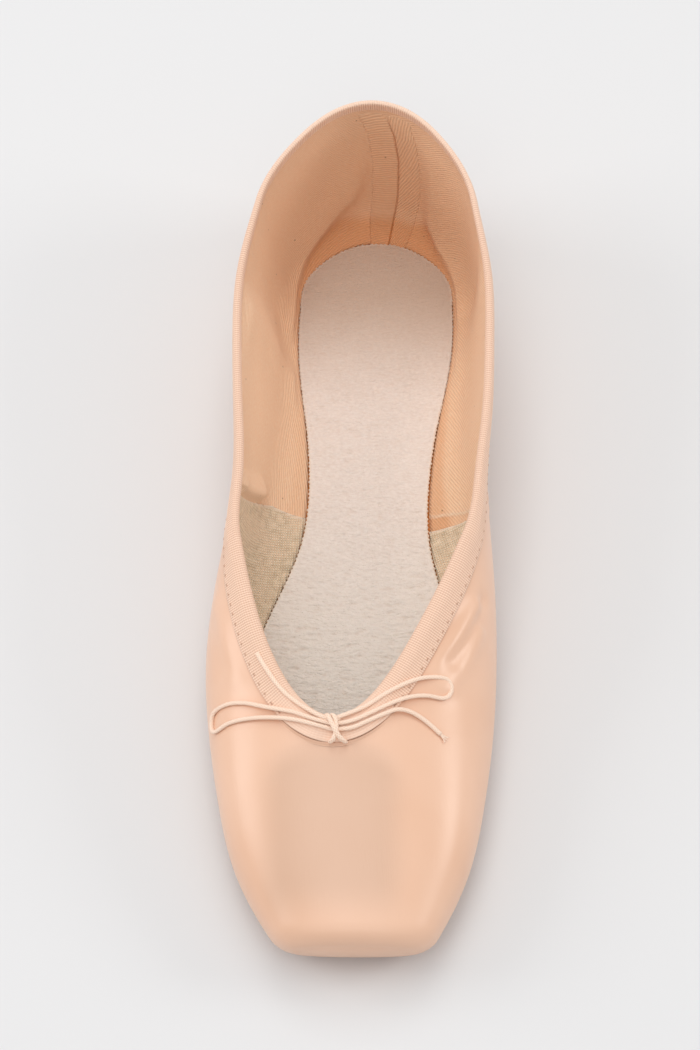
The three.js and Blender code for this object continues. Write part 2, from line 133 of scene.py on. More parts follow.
def in_millimetres(name, values):
    """Widths are shares of half the ball width. Rises are heights: 1 is the instep, 2 the back of the
    collar."""
    if not name.endswith("Rise"):
        return values * BALL_WIDTH / 2
    above = INSTEP_HEIGHT + (values - 1) * (HEEL_HEIGHT - INSTEP_HEIGHT)
    return np.where(values < 1, values * INSTEP_HEIGHT, above)


SPLINES = {name: spline_through(in_millimetres(name, ROWS[:, i])) for i, name in enumerate(COLUMNS)}
print(len(ROWS), "sections,", len(SPLINES), "columns")

# %% [markdown]
# ### Along the shoe
# A maker smooths a last between a few measured sections. Here a spline through the rows carries each
# column along the shoe without corners. The bottom lifts off the floor at the toe and under the arch, and
# the outsole's outline is an ellipse in front.

# %% Along the shoe


def smooth(value, low, high):
    """0 below low, 1 above high, and a smooth step between them."""
    part = np.clip((value - low) / (high - low), 0, 1)
    return part * part * (3 - 2 * part)


def bump(distance, width):
    """A bell of height 1 that is mostly inside width on either side."""
    return np.exp(-((distance / width) ** 2))


def column(name, run):
    """One column of the table at any run: four neighbouring control values, weighted by the B-spline."""
    place = np.clip(np.asarray(run, float) / STEP, 0, len(ROWS) - 1)
    row = np.minimum(place.astype(int), len(ROWS) - 2)
    s = place - row
    weights = [(1 - s) ** 3, 3 * s**3 - 6 * s**2 + 4, -3 * s**3 + 3 * s**2 + 3 * s + 1, s**3]
    return sum(SPLINES[name][row + i] * weight for i, weight in enumerate(weights)) / 6


def lift(run):
    """Height of the bottom off the floor: a parabola at the toe and a sine squared under the arch."""
    toe = np.maximum(1 - run / TOE_SPRING_REACH, 0)
    waist = np.clip((run - ARCH_FROM) / (ARCH_TO - ARCH_FROM), 0, 1)
    return TOE_SPRING * toe**2 + ARCH_LIFT * np.sin(np.pi * waist) ** 2


def sole_reach(run, inset):
    """Half-width inside the outsole's outline: an ellipse in front, the sole column behind it."""
    in_front = np.clip((SOLE_FROM + SOLE_ROUND - run) / (SOLE_ROUND - inset), 0, 1)
    return (column("sole", run) - inset) * np.sqrt(1 - in_front**2)


print("the bottom lifts", round(float(lift(0.0)), 1), "mm at the toe")

# %% [markdown]
# ### Across the shoe
# Each section is two curves that meet at the widest part of the wall, because two curves can give both
# the flat bottom and the round shoulder. Sections shrink into the platform's rim in front. They turn like
# the ribs of a fan round the heel, where straight slices would meet the wall at a slant.

# %% Across the shoe


def bezier(a, b, c, d, part):
    """A cubic Bezier curve from a to d, drawn towards b and c on the way."""
    return a * (1 - part) ** 3 + 3 * b * part * (1 - part) ** 2 + 3 * c * part**2 * (1 - part) + d * part**3


def along_section(bottom, edge, side, shoulder, top, share):
    """Two cubic Bezier curves that meet at the side point, parallel to the line between the two corners."""
    lean = (shoulder - edge) / 4
    lower = bezier(bottom, edge, side - lean, side, np.clip(share * 2, 0, 1))
    upper = bezier(side, side + lean, shoulder, top, np.clip(share * 2 - 1, 0, 1))
    return np.where(share < 0.5, lower, upper)


def section_reach(run, share):
    """Half-width of a section; its top is closed at the crown in front of the throat and open behind it."""
    top = column("top", run) * smooth(run, THROAT_AT, THROAT_AT + CROWN_OPENS)
    return along_section(0, column("edge", run), column("side", run), column("shoulder", run), top, share)


def on_last(run, share, hand):
    """Place on the last. The section stands across the shoe, shrinks into the platform's rounded rim in
    front and turns like a fan round the heel. hand is -1 for the left half and 1 for the right half."""
    run, share, hand = np.broadcast_arrays(*(np.asarray(each, float) for each in (run, share, hand)))
    in_front = np.clip(PLATFORM_ROUND - run, 0, PLATFORM_ROUND)
    inset = PLATFORM_ROUND - np.sqrt(PLATFORM_ROUND**2 - in_front**2)
    low, top = lift(run), column("topRise", run)
    centre = (low + top) / 2
    height = along_section(low, low, low + column("sideRise", run), column("shoulderRise", run), top, share)
    reach = section_reach(run, share) * (1 - inset / column("side", run))
    above = (height - centre) * (1 - 2 * inset / (top - low))
    angle = np.maximum(run - HEEL_AT, 0) * TURN_PER_RUN
    wall_line = column("mid", np.minimum(run, HEEL_AT))
    mid = wall_line + (column("sway", run) - wall_line) * np.maximum(share * 2 - 1, 0)
    rake = RAKE * np.maximum(1 - run / RAKE_REACH, 0) ** 2
    x = mid + hand * reach * np.cos(angle)
    y = np.minimum(run, HEEL_AT) + reach * np.sin(angle) - rake * above - MIDDLE
    return np.stack([x, y, centre + above], -1)


print("crown at the throat", round(float(on_last(THROAT_AT, 1, 1)[2]), 1), "mm")

# %% [markdown]
# ### Edges and slopes
# The upper ends at the collar above and at the outsole's opening below. Both are found on each section by
# halving an interval until it is tiny, which needs no formula turned round. Small steps along both
# parameters give the slopes, and their cross product is the normal along which relief is raised later.

# %% Edges and slopes
HALVINGS = 40


def last_true(start, end, true_at):
    """How far from start towards end something stays true, by halving the interval again and again."""
    for _ in range(HALVINGS):
        middle = (start + end) / 2
        true = true_at(middle)
        start, end = np.where(true, middle, start), np.where(true, end, middle)
    return start


def share_at(run, wanted, inside, outside):
    """The share at which a section's half-width passes a wanted value."""
    start, end = np.full(run.shape, float(inside)), np.full(run.shape, float(outside))
    return last_true(start, end, lambda share: section_reach(run, share) < wanted)


WALL_SHARE = 0.6  # on the wall, well outside the throat


def collar_share(run):
    """The collar: share 1, but in the throat the share whose half-width is the root of the depth."""
    run = np.asarray(run, float)
    wanted = THROAT_SPREAD * np.sqrt(np.maximum(run - THROAT_AT, 0))
    in_throat = (run > THROAT_AT) & (run < THROAT_END) & (wanted > section_reach(run, np.ones_like(run)))
    return np.where(in_throat, share_at(run, wanted, 1, WALL_SHARE), 1)


def feather_share(run):
    """The lower edge of the upper: the bottom's middle at the toe, the rim of the outsole's opening
    behind it."""
    run = np.asarray(run, float)
    share = share_at(run, sole_reach(run, -FEATHER_GAP), 0, 0.5)
    return np.where(run <= SOLE_FROM - FEATHER_GAP, 0, share)


NUDGE = 0.01  # step of the small differences


def slopes(run, share, hand):
    """Directions along run and along share by small differences, and the outward normal, their cross
    product."""
    run, share, hand = np.broadcast_arrays(*(np.asarray(each, float) for each in (run, share, hand)))
    run_on, share_on = np.minimum(run + NUDGE, BACK), np.minimum(share + NUDGE, 1)
    over_run = on_last(run_on, share, hand) - on_last(run - NUDGE, share, hand)
    over_share = on_last(run, share_on, hand) - on_last(run, share - NUDGE, hand)
    along_run = over_run / (run_on - run + NUDGE)[..., None]
    along_share = over_share / (share_on - share + NUDGE)[..., None]
    return along_run, along_share, unit(np.cross(along_run, along_share) * hand[..., None])


print("collar beside the throat at share", round(float(collar_share([60.0])[0]), 2))

# %% [markdown]
# ## Meshes from grids
# Each cloth is a grid of places. Grids are joined, points that fall together are welded, and the result
# goes into a mesh at once. Every corner of a face keeps its own place in the cloth as a UV map in
# millimetres, so a weave has its real size.

# %% Grids


def grid(places, cloth, flip=False, **values):
    """A grid of places, rows by columns, as points, quads, UV corners and named values for each point."""
    rows, columns = places.shape[:2]
    index = np.arange(rows * columns).reshape(rows, columns)
    quads = np.stack([index[:-1, :-1], index[1:, :-1], index[1:, 1:], index[:-1, 1:]], -1).reshape(-1, 4)
    quads = quads[:, ::-1] if flip else quads
    flat = {name: np.broadcast_to(value, (rows, columns)).ravel() for name, value in values.items()}
    uv = cloth.reshape(-1, 2)[quads]
    return {"points": places.reshape(-1, 3), "quads": quads, "uv": uv, "values": flat}


def join(*grids):
    """Several grids as one, with each one's quads counted on from the points before it."""
    starts = np.cumsum([0] + [len(part["points"]) for part in grids[:-1]])
    names = grids[0]["values"]
    return {
        "points": np.concatenate([part["points"] for part in grids]),
        "quads": np.concatenate([part["quads"] + start for part, start in zip(grids, starts)]),
        "uv": np.concatenate([part["uv"] for part in grids]),
        "values": {name: np.concatenate([part["values"][name] for part in grids]) for name in names},
    }


WELD = 0.001  # points closer than this are one


def weld(made):
    """Shares points that fall together, and leaves out quads that shrink to a line."""
    rounded = np.round(made["points"] / WELD).astype(np.int64)
    _, first, new = np.unique(rounded, axis=0, return_index=True, return_inverse=True)
    quads = new.ravel()[made["quads"]]
    kept = (np.diff(np.sort(quads, axis=1), axis=1) > 0).sum(1) >= 2
    values = {name: value[first] for name, value in made["values"].items()}
    return {"points": made["points"][first], "quads": quads[kept], "uv": made["uv"][kept], "values": values}


def point_normals(made):
    """Each point's normal: the sum of the cross products of the diagonals of the quads round it."""
    a, b, c, d = (made["points"][made["quads"][:, i]] for i in range(4))
    faces = np.repeat(np.cross(c - a, d - b), 4, axis=0)
    corners = made["quads"].ravel()
    total = np.stack([np.bincount(corners, faces[:, i], len(made["points"])) for i in range(3)], -1)
    return unit(total)


trial = grid(np.zeros((2, 3, 3)), np.zeros((2, 3, 2)))
print("two rows of three places make", len(trial["quads"]), "quads")

# %% [markdown]
# ### Meshes
# A welded grid becomes a mesh in one go, which is much quicker than adding faces one by one.

# %% Meshes


def corner_lists(made):
    """Quads, and triangles where two corners of a quad have become one, with their UV corners."""
    quads = made["quads"]
    same = quads == np.roll(quads, -1, axis=1)
    single = same.any(1)
    keep = ~same[single]
    faces = quads[~single].tolist() + quads[single][keep].reshape(-1, 3).tolist()
    uv = np.concatenate([made["uv"][~single].reshape(-1, 2), made["uv"][single][keep].reshape(-1, 2)])
    return faces, uv


def piece(name, made, finish, replaced=(), thick=0.0):
    """A mesh object of the shoe. thick gives an open sheet a wall behind its face."""
    made = weld(made)
    faces, uv = corner_lists(made)
    mesh = bpy.data.meshes.new(name)
    mesh.from_pydata((made["points"] * MM).tolist(), [], faces)
    mesh.uv_layers.new(name="cloth").data.foreach_set("uv", uv.astype(np.float32).ravel())
    for key, value in made["values"].items():
        mesh.attributes.new(key, "FLOAT", "POINT").data.foreach_set("value", value.astype(np.float32))
    mesh.polygons.foreach_set("use_smooth", np.ones(len(faces), bool))
    mesh.materials.append(finish)
    obj = bpy.data.objects.new(name, mesh)
    bpy.context.scene.collection.objects.link(obj)
    if thick:
        wall = obj.modifiers.new("wall", "SOLIDIFY")
        wall.thickness, wall.offset = thick * MM, -1
    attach(obj, "root")
    if replaced:
        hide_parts(*replaced)
    print(name, len(made["points"]), "points,", len(faces), "faces")
    return obj


print("faces of the trial grid:", corner_lists(trial)[0])

# %% [markdown]
# ## Finishes
# Every finish is a Principled shader with procedural nodes that read the cloth's own UV map, in
# millimetres. A small helper adds a node, sets its sockets or links them, and keeps each finish short.

# %% Node helpers


def new_finish(name, **sockets):
    """A material with its Principled shader's sockets set, ready for nodes."""
    material = bpy.data.materials.new(name)
    material.use_nodes = True
    shader = material.node_tree.nodes["Principled BSDF"]
    for key, value in sockets.items():
        shader.inputs[key.replace("_", " ")].default_value = value
    return material, material.node_tree, shader


def add(tree, kind, settings=None, inputs=None):
    """A node with its settings; inputs go by socket name or number and take a value or another node's
    socket."""
    made = tree.nodes.new(kind)
    for key, value in (settings or {}).items():
        setattr(made, key, value)
    for key, value in (inputs or {}).items():
        if isinstance(value, bpy.types.NodeSocket):
            tree.links.new(value, made.inputs[key])
        else:
            made.inputs[key].default_value = value
    return made


def cloth_place(tree, scale=(1, 1, 1), angle=0.0):
    """Places on the cloth in millimetres, stretched by scale and turned by angle in degrees."""
    uv = add(tree, "ShaderNodeUVMap", {"uv_map": "cloth"})
    inputs = {"Vector": uv.outputs[0], "Rotation": (0, 0, np.radians(angle)), "Scale": scale}
    return add(tree, "ShaderNodeMapping", None, inputs).outputs[0]


def noise(tree, place, scale, detail=2.0, roughness=0.5):
    """Soft noise between 0 and 1."""
    inputs = {"Vector": place, "Scale": scale, "Detail": detail, "Roughness": roughness}
    return add(tree, "ShaderNodeTexNoise", None, inputs).outputs[0]


BAND_LENGTH = 2 * np.pi / 20  # one band of Blender's wave texture at scale 1


def waves(tree, place, pitch, direction="X", distortion=0.0):
    """Sine bands with a pitch in the units of place."""
    settings = {"wave_type": "BANDS", "bands_direction": direction, "wave_profile": "SIN"}
    inputs = {"Vector": place, "Scale": BAND_LENGTH / pitch, "Distortion": distortion, "Detail": 0.0}
    return add(tree, "ShaderNodeTexWave", settings, inputs).outputs["Fac"]


def math_node(tree, operation, a, b):
    """One step of arithmetic."""
    return add(tree, "ShaderNodeMath", {"operation": operation}, {0: a, 1: b}).outputs[0]


def blend(tree, amount, first, second):
    """A colour between two, by amount."""
    return add(tree, "ShaderNodeMix", {"data_type": "RGBA"}, {0: amount, 6: first, 7: second}).outputs[2]


def ramp(tree, amount, low, high):
    """Stretches the part of amount between low and high to 0 to 1."""
    return add(tree, "ShaderNodeMapRange", None, {0: amount, 1: low, 2: high}).outputs[0]


def relief(tree, shader, height, depth, strength):
    """Bumps the shader's normal by a height between 0 and 1 that is depth millimetres tall."""
    inputs = {"Height": height, "Distance": depth * MM, "Strength": strength}
    tree.links.new(add(tree, "ShaderNodeBump", None, inputs).outputs[0], shader.inputs["Normal"])


def value_of(tree, name):
    """A named value that the mesh carries for each point."""
    return add(tree, "ShaderNodeAttribute", {"attribute_name": name}).outputs["Fac"]


print("one band at scale 1 is", round(BAND_LENGTH, 3), "long")

# %% [markdown]
# ### Satin
# Satin is smooth because its long threads float over many others. Its gloss is soft and broad, a little
# stronger across the threads, with faint streaks along them. Noise stretched along the threads gives the
# streaks, and a slow noise gives the uneven tone of dyed cloth.

# %% Satin
PEACH, PEACH_DEEP, PEACH_SEAM = (0.83, 0.525, 0.367, 1), (0.79, 0.48, 0.322, 1), (0.52, 0.26, 0.14, 1)
PASTE_AND_SHADE_TONE = (0.56, 0.36, 0.25, 1)  # where the paste of the stiffened toe darkens the cloth, with painted shade over the stiffened toe and along its end
SATIN_SHEEN = (1, 0.86, 0.77, 1)
SMOOTHEST, ROUGHEST = 0.27, 0.39  # roughness between the streaks and on them


def satin_finish():
    """Peach between two tones by a slow noise; streaks along the threads move the gloss and the bump."""
    material, tree, shader = new_finish("satin", Specular_IOR_Level=0.6, Anisotropic=0.25, Sheen_Weight=0.13,
                                        Sheen_Roughness=0.4, Sheen_Tint=SATIN_SHEEN)
    streaks = noise(tree, cloth_place(tree, (2.2, 0.16, 1)), 1.0, 3.0, 0.6)
    tone = noise(tree, cloth_place(tree), 0.035, 2.0)
    base = blend(tree, ramp(tree, tone, 0.35, 0.7), PEACH, PEACH_DEEP)
    # the stiffened toe's tone is paste stain and painted shade
    pasted = blend(tree, value_of(tree, "paste"), base, PASTE_AND_SHADE_TONE)
    sewn = blend(tree, value_of(tree, "seam"), pasted, PEACH_SEAM)
    tree.links.new(sewn, shader.inputs["Base Color"])
    gloss = add(tree, "ShaderNodeMapRange", None, {0: streaks, 3: SMOOTHEST, 4: ROUGHEST}).outputs[0]
    tree.links.new(gloss, shader.inputs["Roughness"])
    relief(tree, shader, streaks, 0.05, 0.5)
    return material


SATIN = satin_finish()
print(SATIN.name, "with", len(SATIN.node_tree.nodes), "nodes")

# %% [markdown]
# ### Linings
# Behind the side seams the shoe is lined with cotton twill, whose diagonal lines are under a millimetre
# apart. In front of them lies a heavier plain-woven canvas, greyer and coarser. Sine bands make both
# weaves: one set of slanted bands for twill, two crossed sets for canvas.

# %% Twill and canvas
TWILL_PITCH, TWILL_SLANT = 0.72, 58  # distance between the diagonal lines, and their angle in degrees
TWILL_TONES = (0.94, 0.607, 0.385, 1), (0.98, 0.717, 0.508, 1)
# the first colour here is painted shade at the heel, just above the insole and on the turned-in edge, and the
# darker tone of the seam tape and the back seam's line
TWILL_SHADE_AND_SEAM_TONE, TWILL_GROOVE = (0.66, 0.23, 0.045, 1), (0.47, 0.24, 0.12, 1)
FLECK, FLECK_CELL, FLECK_SIZE = (0.25, 0.12, 0.06, 1), 5.5, 0.32
CUT_EDGE_TONE = (0.95, 0.78, 0.62, 1)  # of twill and canvas
CANVAS_PITCH, CANVAS_TURN = 0.74, 8
CANVAS_TONES = (0.52, 0.38, 0.235, 1), (0.93, 0.735, 0.53, 1)
CANVAS_AGED, CANVAS_THREAD = (0.84, 0.61, 0.42, 1), (1, 0.89, 0.71, 1)


def flecks(tree, cell, size):
    """Sparse round specks: the middles of random cells, for about half of them."""
    settings = {"feature": "F1"}
    cells = add(tree, "ShaderNodeTexVoronoi", settings, {"Vector": cloth_place(tree), "Scale": 1 / cell})
    near = ramp(tree, cells.outputs["Distance"], size / cell, 0.4 * size / cell)
    chosen = add(tree, "ShaderNodeSeparateColor", None, {0: cells.outputs["Color"]}).outputs[0]
    return math_node(tree, "MULTIPLY", near, math_node(tree, "GREATER_THAN", chosen, 0.5))


def twill_finish(name, boldness):
    """Slanted sine bands for the diagonal lines, slubs along the thread, and a few dark flecks of seed
    coat."""
    material, tree, shader = new_finish(name, Roughness=0.9, Sheen_Weight=0.1)
    lines = waves(tree, cloth_place(tree, angle=TWILL_SLANT), TWILL_PITCH, "X", 1.2)
    slubs = noise(tree, cloth_place(tree, (1, 4, 1)), 0.7, 3.0)
    tone = blend(tree, ramp(tree, slubs, 0.3, 0.75), *TWILL_TONES)
    # the shade value blends in painted shade, and the darker seam tape and seam line
    shaded = blend(tree, value_of(tree, "shade"), tone, TWILL_SHADE_AND_SEAM_TONE)
    woven = blend(tree, math_node(tree, "MULTIPLY", lines, boldness), shaded, TWILL_GROOVE)
    flecked = blend(tree, flecks(tree, FLECK_CELL, FLECK_SIZE), woven, FLECK)
    edged = blend(tree, value_of(tree, "edge"), flecked, CUT_EDGE_TONE)
    tree.links.new(edged, shader.inputs["Base Color"])
    height = math_node(tree, "SUBTRACT", slubs, lines)
    relief(tree, shader, height, 0.16, 0.8)
    return material


def canvas_finish():
    """Two crossed sets of sine bands multiplied give the plain weave; noise gives thicker and thinner
    threads."""
    material, tree, shader = new_finish("canvas", Roughness=0.95, Sheen_Weight=0.1)
    warp = waves(tree, cloth_place(tree, angle=CANVAS_TURN), CANVAS_PITCH, "X", 1.5)
    weft = waves(tree, cloth_place(tree, angle=CANVAS_TURN), CANVAS_PITCH, "Y", 1.5)
    woven = math_node(tree, "MULTIPLY", warp, weft)
    slubs = noise(tree, cloth_place(tree), 0.5, 3.0)
    stains = noise(tree, cloth_place(tree), 0.09, 2.0)
    tone = blend(tree, ramp(tree, slubs, 0.3, 0.75), *CANVAS_TONES)
    aged = blend(tree, ramp(tree, stains, 0.35, 0.75), tone, CANVAS_AGED)
    threads = blend(tree, woven, aged, CANVAS_THREAD)
    edged = blend(tree, value_of(tree, "edge"), threads, CUT_EDGE_TONE)
    tree.links.new(edged, shader.inputs["Base Color"])
    relief(tree, shader, math_node(tree, "ADD", woven, slubs), 0.3, 0.9)
    return material


TWILL, TWILL_STRIP, CANVAS = twill_finish("twill", 0.27), twill_finish("twill_strip", 0.42), canvas_finish()
print("linings:", [finish.name for finish in (TWILL, TWILL_STRIP, CANVAS)])

# %% [markdown]
# ### Tape and braid
# The binding is a ribbed tape: its ribs are real geometry, and the finish paints a highlight on their
# tops and shade in their grooves. The drawstring is a fine pale braid. Its strands are round profiles, and
# two crossed sets of bands draw the plait on them.

# %% Tape and braid
TAPE_SHEEN, TAPE_THREAD_PITCH = (1, 0.85, 0.75, 1), 0.62
# groove colour is painted shade, rib colour a painted highlight
TAPE_GROOVE_SHADE, TAPE_RIB_HIGHLIGHT = (0.64, 0.345, 0.215, 1), (0.96, 0.685, 0.525, 1)
TAPE_THREAD, TAPE_DARK = (0.97, 0.78, 0.64, 1), (0.33, 0.16, 0.09, 1)
PLAIT_PITCH, PLAIT_SLANT = 0.55, 35
PLAIT_TONES = (0.83, 0.53, 0.37, 1), (0.97, 0.76, 0.61, 1)


def tape_finish():
    """The tops of the ribs get a painted highlight and the grooves painted shade, and fine bands across
    them give the woven threads."""
    material, tree, shader = new_finish("grosgrain", Roughness=0.6, Sheen_Weight=0.3, Sheen_Tint=TAPE_SHEEN)
    grain = noise(tree, cloth_place(tree, (1.5, 6, 1)), 1.0, 2.0)
    threads = waves(tree, cloth_place(tree), TAPE_THREAD_PITCH, "X", 0.8)
    base = blend(tree, value_of(tree, "rib"), TAPE_GROOVE_SHADE, TAPE_RIB_HIGHLIGHT)
    toned = blend(tree, math_node(tree, "MULTIPLY", threads, 0.3), base, TAPE_THREAD)
    dark = blend(tree, value_of(tree, "shade"), toned, TAPE_DARK)
    tree.links.new(dark, shader.inputs["Base Color"])
    relief(tree, shader, math_node(tree, "ADD", grain, threads), 0.07, 0.7)
    return material


def braid_finish():
    """Two crossed sets of slanted bands, whichever is higher, give the plait."""
    material, tree, shader = new_finish("braid", Roughness=0.7, Sheen_Weight=0.3)
    one = waves(tree, cloth_place(tree, angle=PLAIT_SLANT), PLAIT_PITCH)
    other = waves(tree, cloth_place(tree, angle=-PLAIT_SLANT), PLAIT_PITCH)
    plait = math_node(tree, "MAXIMUM", one, other)
    tree.links.new(blend(tree, plait, *PLAIT_TONES), shader.inputs["Base Color"])
    relief(tree, shader, plait, 0.08, 0.8)
    return material


TAPE, BRAID = tape_finish(), braid_finish()
print("trimmings:", TAPE.name, "and", BRAID.name)

# %% [markdown]
# ### Nap and leather
# The insole has a brushed nap whose fibres lie across the shoe. Towards the heel its nap is flatter and
# its colour darker, and under the vamp the nap is looser and its colour gets a painted light where the
# vamp shades it. The outsole is plain leather with a short suede nap. Noises of several sizes give both,
# and values on the insole's points say how far under the vamp and how near the heel each one lies.

# %% Nap and leather
NAP_TONES, NAP_BRUSHED = ((0.83, 0.725, 0.655, 1), (0.87, 0.775, 0.71, 1)), (0.98, 0.905, 0.845, 1)
# the first colour below is painted light under the vamp, where the vamp shades the insole; the second is the
# darker tone towards the heel
NAP_PAINTED_LIGHT, NAP_HEEL_DARK = (1, 0.935, 0.855, 1), (0.45, 0.3, 0.19, 1)
# the first colour below is painted shade in the hollows between tufts
NAP_HOLLOW_SHADE, NAP_RIM = (0.66, 0.5, 0.38, 1), (0.97, 0.84, 0.7, 1)
RAISED_BY, RUBBED_BY = 1.4, 0.9  # how much looser the nap is under the vamp, and how much flatter towards the heel
# strength of the painted shade in the hollows, and height of the tufts
HOLLOW_SHADE_STRENGTH, TUFT_HEIGHT = 0.27, 2.7
LEATHER_TONES, LEATHER_NAP = ((0.48, 0.3, 0.175, 1), (0.62, 0.42, 0.27, 1)), (0.72, 0.53, 0.37, 1)


def nap_finish():
    """Noise stretched across the shoe gives the brushed fibres, a slower noise the patches, and a third
    one the hollows between tufts, darkened by painted shade: deepest under the vamp, where the nap is
    loosest, and flat at the heel. Under the vamp the colour also gets a painted light."""
    material, tree, shader = new_finish("insole_nap", Roughness=0.95, Sheen_Weight=0.35, Sheen_Roughness=0.6)
    fibres = noise(tree, cloth_place(tree, (0.75, 1.4, 1)), 1.1, 5.0, 0.65)
    patches = noise(tree, cloth_place(tree), 0.1, 2.0)
    tone = blend(tree, ramp(tree, patches, 0.3, 0.7), *NAP_TONES)
    brushed = blend(tree, ramp(tree, fibres, 0.35, 0.75), tone, NAP_BRUSHED)
    # painted light under the vamp, where the vamp shades the insole
    fresh_nap_and_painted_light = blend(tree, value_of(tree, "fresh_nap_and_painted_light"), brushed, NAP_PAINTED_LIGHT)
    dents = noise(tree, cloth_place(tree, (0.45, 1, 1)), 0.55, 4.0, 0.6)
    rubbed = math_node(tree, "MULTIPLY", value_of(tree, "near_heel"), RUBBED_BY)
    raised = math_node(tree, "MULTIPLY", value_of(tree, "fresh_nap_and_painted_light"), RAISED_BY)
    loose = math_node(tree, "SUBTRACT", math_node(tree, "ADD", raised, 1.0), rubbed)
    deep = math_node(tree, "MULTIPLY", loose, HOLLOW_SHADE_STRENGTH)
    hollows = math_node(tree, "MULTIPLY", ramp(tree, dents, 0.45, 0.25), deep)
    # painted shade in the hollows between tufts
    hollow_shaded = blend(tree, hollows, fresh_nap_and_painted_light, NAP_HOLLOW_SHADE)
    # darker towards the heel
    near_heel = blend(tree, value_of(tree, "near_heel"), hollow_shaded, NAP_HEEL_DARK)
    rim = blend(tree, value_of(tree, "rim"), near_heel, NAP_RIM)
    tree.links.new(rim, shader.inputs["Base Color"])
    tufts = math_node(tree, "MULTIPLY", dents, math_node(tree, "MULTIPLY", loose, TUFT_HEIGHT))
    relief(tree, shader, math_node(tree, "ADD", fibres, tufts), 0.5, 0.8)
    return material


def leather_finish():
    """Fine noise for the nap and a slow one for scuffs, both on the object's own coordinates."""
    material, tree, shader = new_finish("sole_leather", Roughness=0.85, Sheen_Weight=0.2)
    place = add(tree, "ShaderNodeTexCoord").outputs["Object"]
    grain = noise(tree, place, 1400.0, 3.0, 0.6)
    scuffs = noise(tree, place, 45.0, 4.0, 0.6)
    tone = blend(tree, ramp(tree, scuffs, 0.3, 0.75), *LEATHER_TONES)
    napped = blend(tree, math_node(tree, "MULTIPLY", grain, 0.4), tone, LEATHER_NAP)
    tree.links.new(napped, shader.inputs["Base Color"])
    relief(tree, shader, grain, 0.12, 0.7)
    return material


NAP, LEATHER = nap_finish(), leather_finish()
print("insole and outsole:", NAP.name, "and", LEATHER.name)

# %% [markdown]
# ## Drawstring
# A thin braid comes out of the binding at the throat and is tied in a bow. Its loops and ends are limp,
# so they lie on the tape and the satin and hang over nothing. Each strand is a profile carried along a
# smooth path through a list of places. The list follows the strand in the part's source, rests a little
# lower on the dressed shoe, and runs on until it is hidden under the knot.

# %% Routes of the strands
CORD_FLAT = 0.8  # a limp braid lies a little flat
ON_SATIN = CORD_FLAT * CORD / 2  # height of a strand's middle above the last
ON_TAPE = ON_SATIN + 0.87  # the tape's face stands so far above the last
LANE = CORD + GLUE  # from strand to strand beside the knot
KNOT_RUN = THROAT_AT - TAPE_OUTSIDE / 4
KNOT_PLACE = on_last(KNOT_RUN, 1, 1)
KNOT_ALONG, _, KNOT_NORMAL = slopes(KNOT_RUN, 1, 1)


def beside_knot(right, back, up):
    """A place near the knot: so far to the right, back along the vamp and up from the last."""
    return KNOT_PLACE + back * unit(KNOT_ALONG) + up * KNOT_NORMAL + np.array([right, 0, 0])


def on_vamp(rows):
    """Places over the vamp from run, distance across from the shoe's centre plane and height above the
    last."""
    run, x, up = np.array(rows).T
    hand = np.where(x < on_last(run, 1, 1)[:, 0], -1.0, 1.0)
    on_wall, on_crown = np.full(len(run), WALL_SHARE), np.ones(len(run))
    share = last_true(on_wall, on_crown, lambda middle: (on_last(run, middle, hand)[:, 0] - x) * hand > 0)
    return on_last(run, share, hand) + up[:, None] * slopes(run, share, hand)[2]


LEFT_LOOP = np.concatenate([
    [beside_knot(0.2, 0, ON_TAPE)],
    on_vamp([[53.9, -8, ON_TAPE], [56, -13.4, ON_TAPE], [58, -20.2, ON_TAPE], [60.4, -26, ON_SATIN + 0.35],
             [61.8, -30.6, ON_SATIN], [62, -34.1, ON_SATIN], [61.3, -34.8, ON_SATIN], [60, -35, ON_SATIN],
             [58.4, -34.9, ON_SATIN], [57.1, -34.4, ON_SATIN], [56.5, -33.5, ON_SATIN],
             [56.6, -30.4, ON_SATIN], [56.2, -26, ON_SATIN + 0.2], [55.4, -20.2, ON_TAPE - 0.3],
             [54.1, -13.4, ON_TAPE]]),
    [beside_knot(0.4, -LANE, ON_TAPE)]])
LEFT_END = np.concatenate([
    [beside_knot(2, LANE, ON_TAPE - 0.5), beside_knot(-1.2, LANE, ON_TAPE)],
    on_vamp([[55.7, -8.4, ON_TAPE], [59.2, -13.4, ON_TAPE], [62.4, -16.6, ON_TAPE], [67.4, -20, ON_TAPE],
             [72.8, -23, ON_TAPE]])])
RIGHT_LOOP = np.concatenate([
    [beside_knot(0.6, LANE, ON_TAPE)],
    on_vamp([[57.2, 4.4, ON_TAPE], [61, 9.6, ON_TAPE], [64.2, 14.4, ON_TAPE], [66.8, 19.4, ON_SATIN + 0.4],
             [68, 25, ON_SATIN + 0.1], [67.3, 26, ON_SATIN + 0.1], [66, 26.4, ON_SATIN + 0.1],
             [64.6, 26.2, ON_SATIN + 0.1], [63.3, 25.4, ON_SATIN + 0.1], [62.6, 24.2, ON_SATIN + 0.1],
             [62.2, 20, ON_SATIN + 0.3], [60.8, 15.4, ON_TAPE - 0.1], [58.6, 11, ON_TAPE]]),
    [beside_knot(5, 1, ON_TAPE), beside_knot(0.2, 0, ON_TAPE)]])
RIGHT_END = np.concatenate([
    [beside_knot(0.4, -LANE, ON_TAPE)],
    on_vamp([[51.7, 1.4, ON_TAPE], [53.6, 5.4, ON_TAPE], [55.7, 9.4, ON_TAPE], [57.2, 12.8, ON_TAPE],
             [57.2, 15.8, ON_TAPE - 0.4], [56.2, 18.6, ON_SATIN + 0.2], [54.7, 21.2, ON_SATIN],
             [52.8, 23.8, ON_SATIN]])])
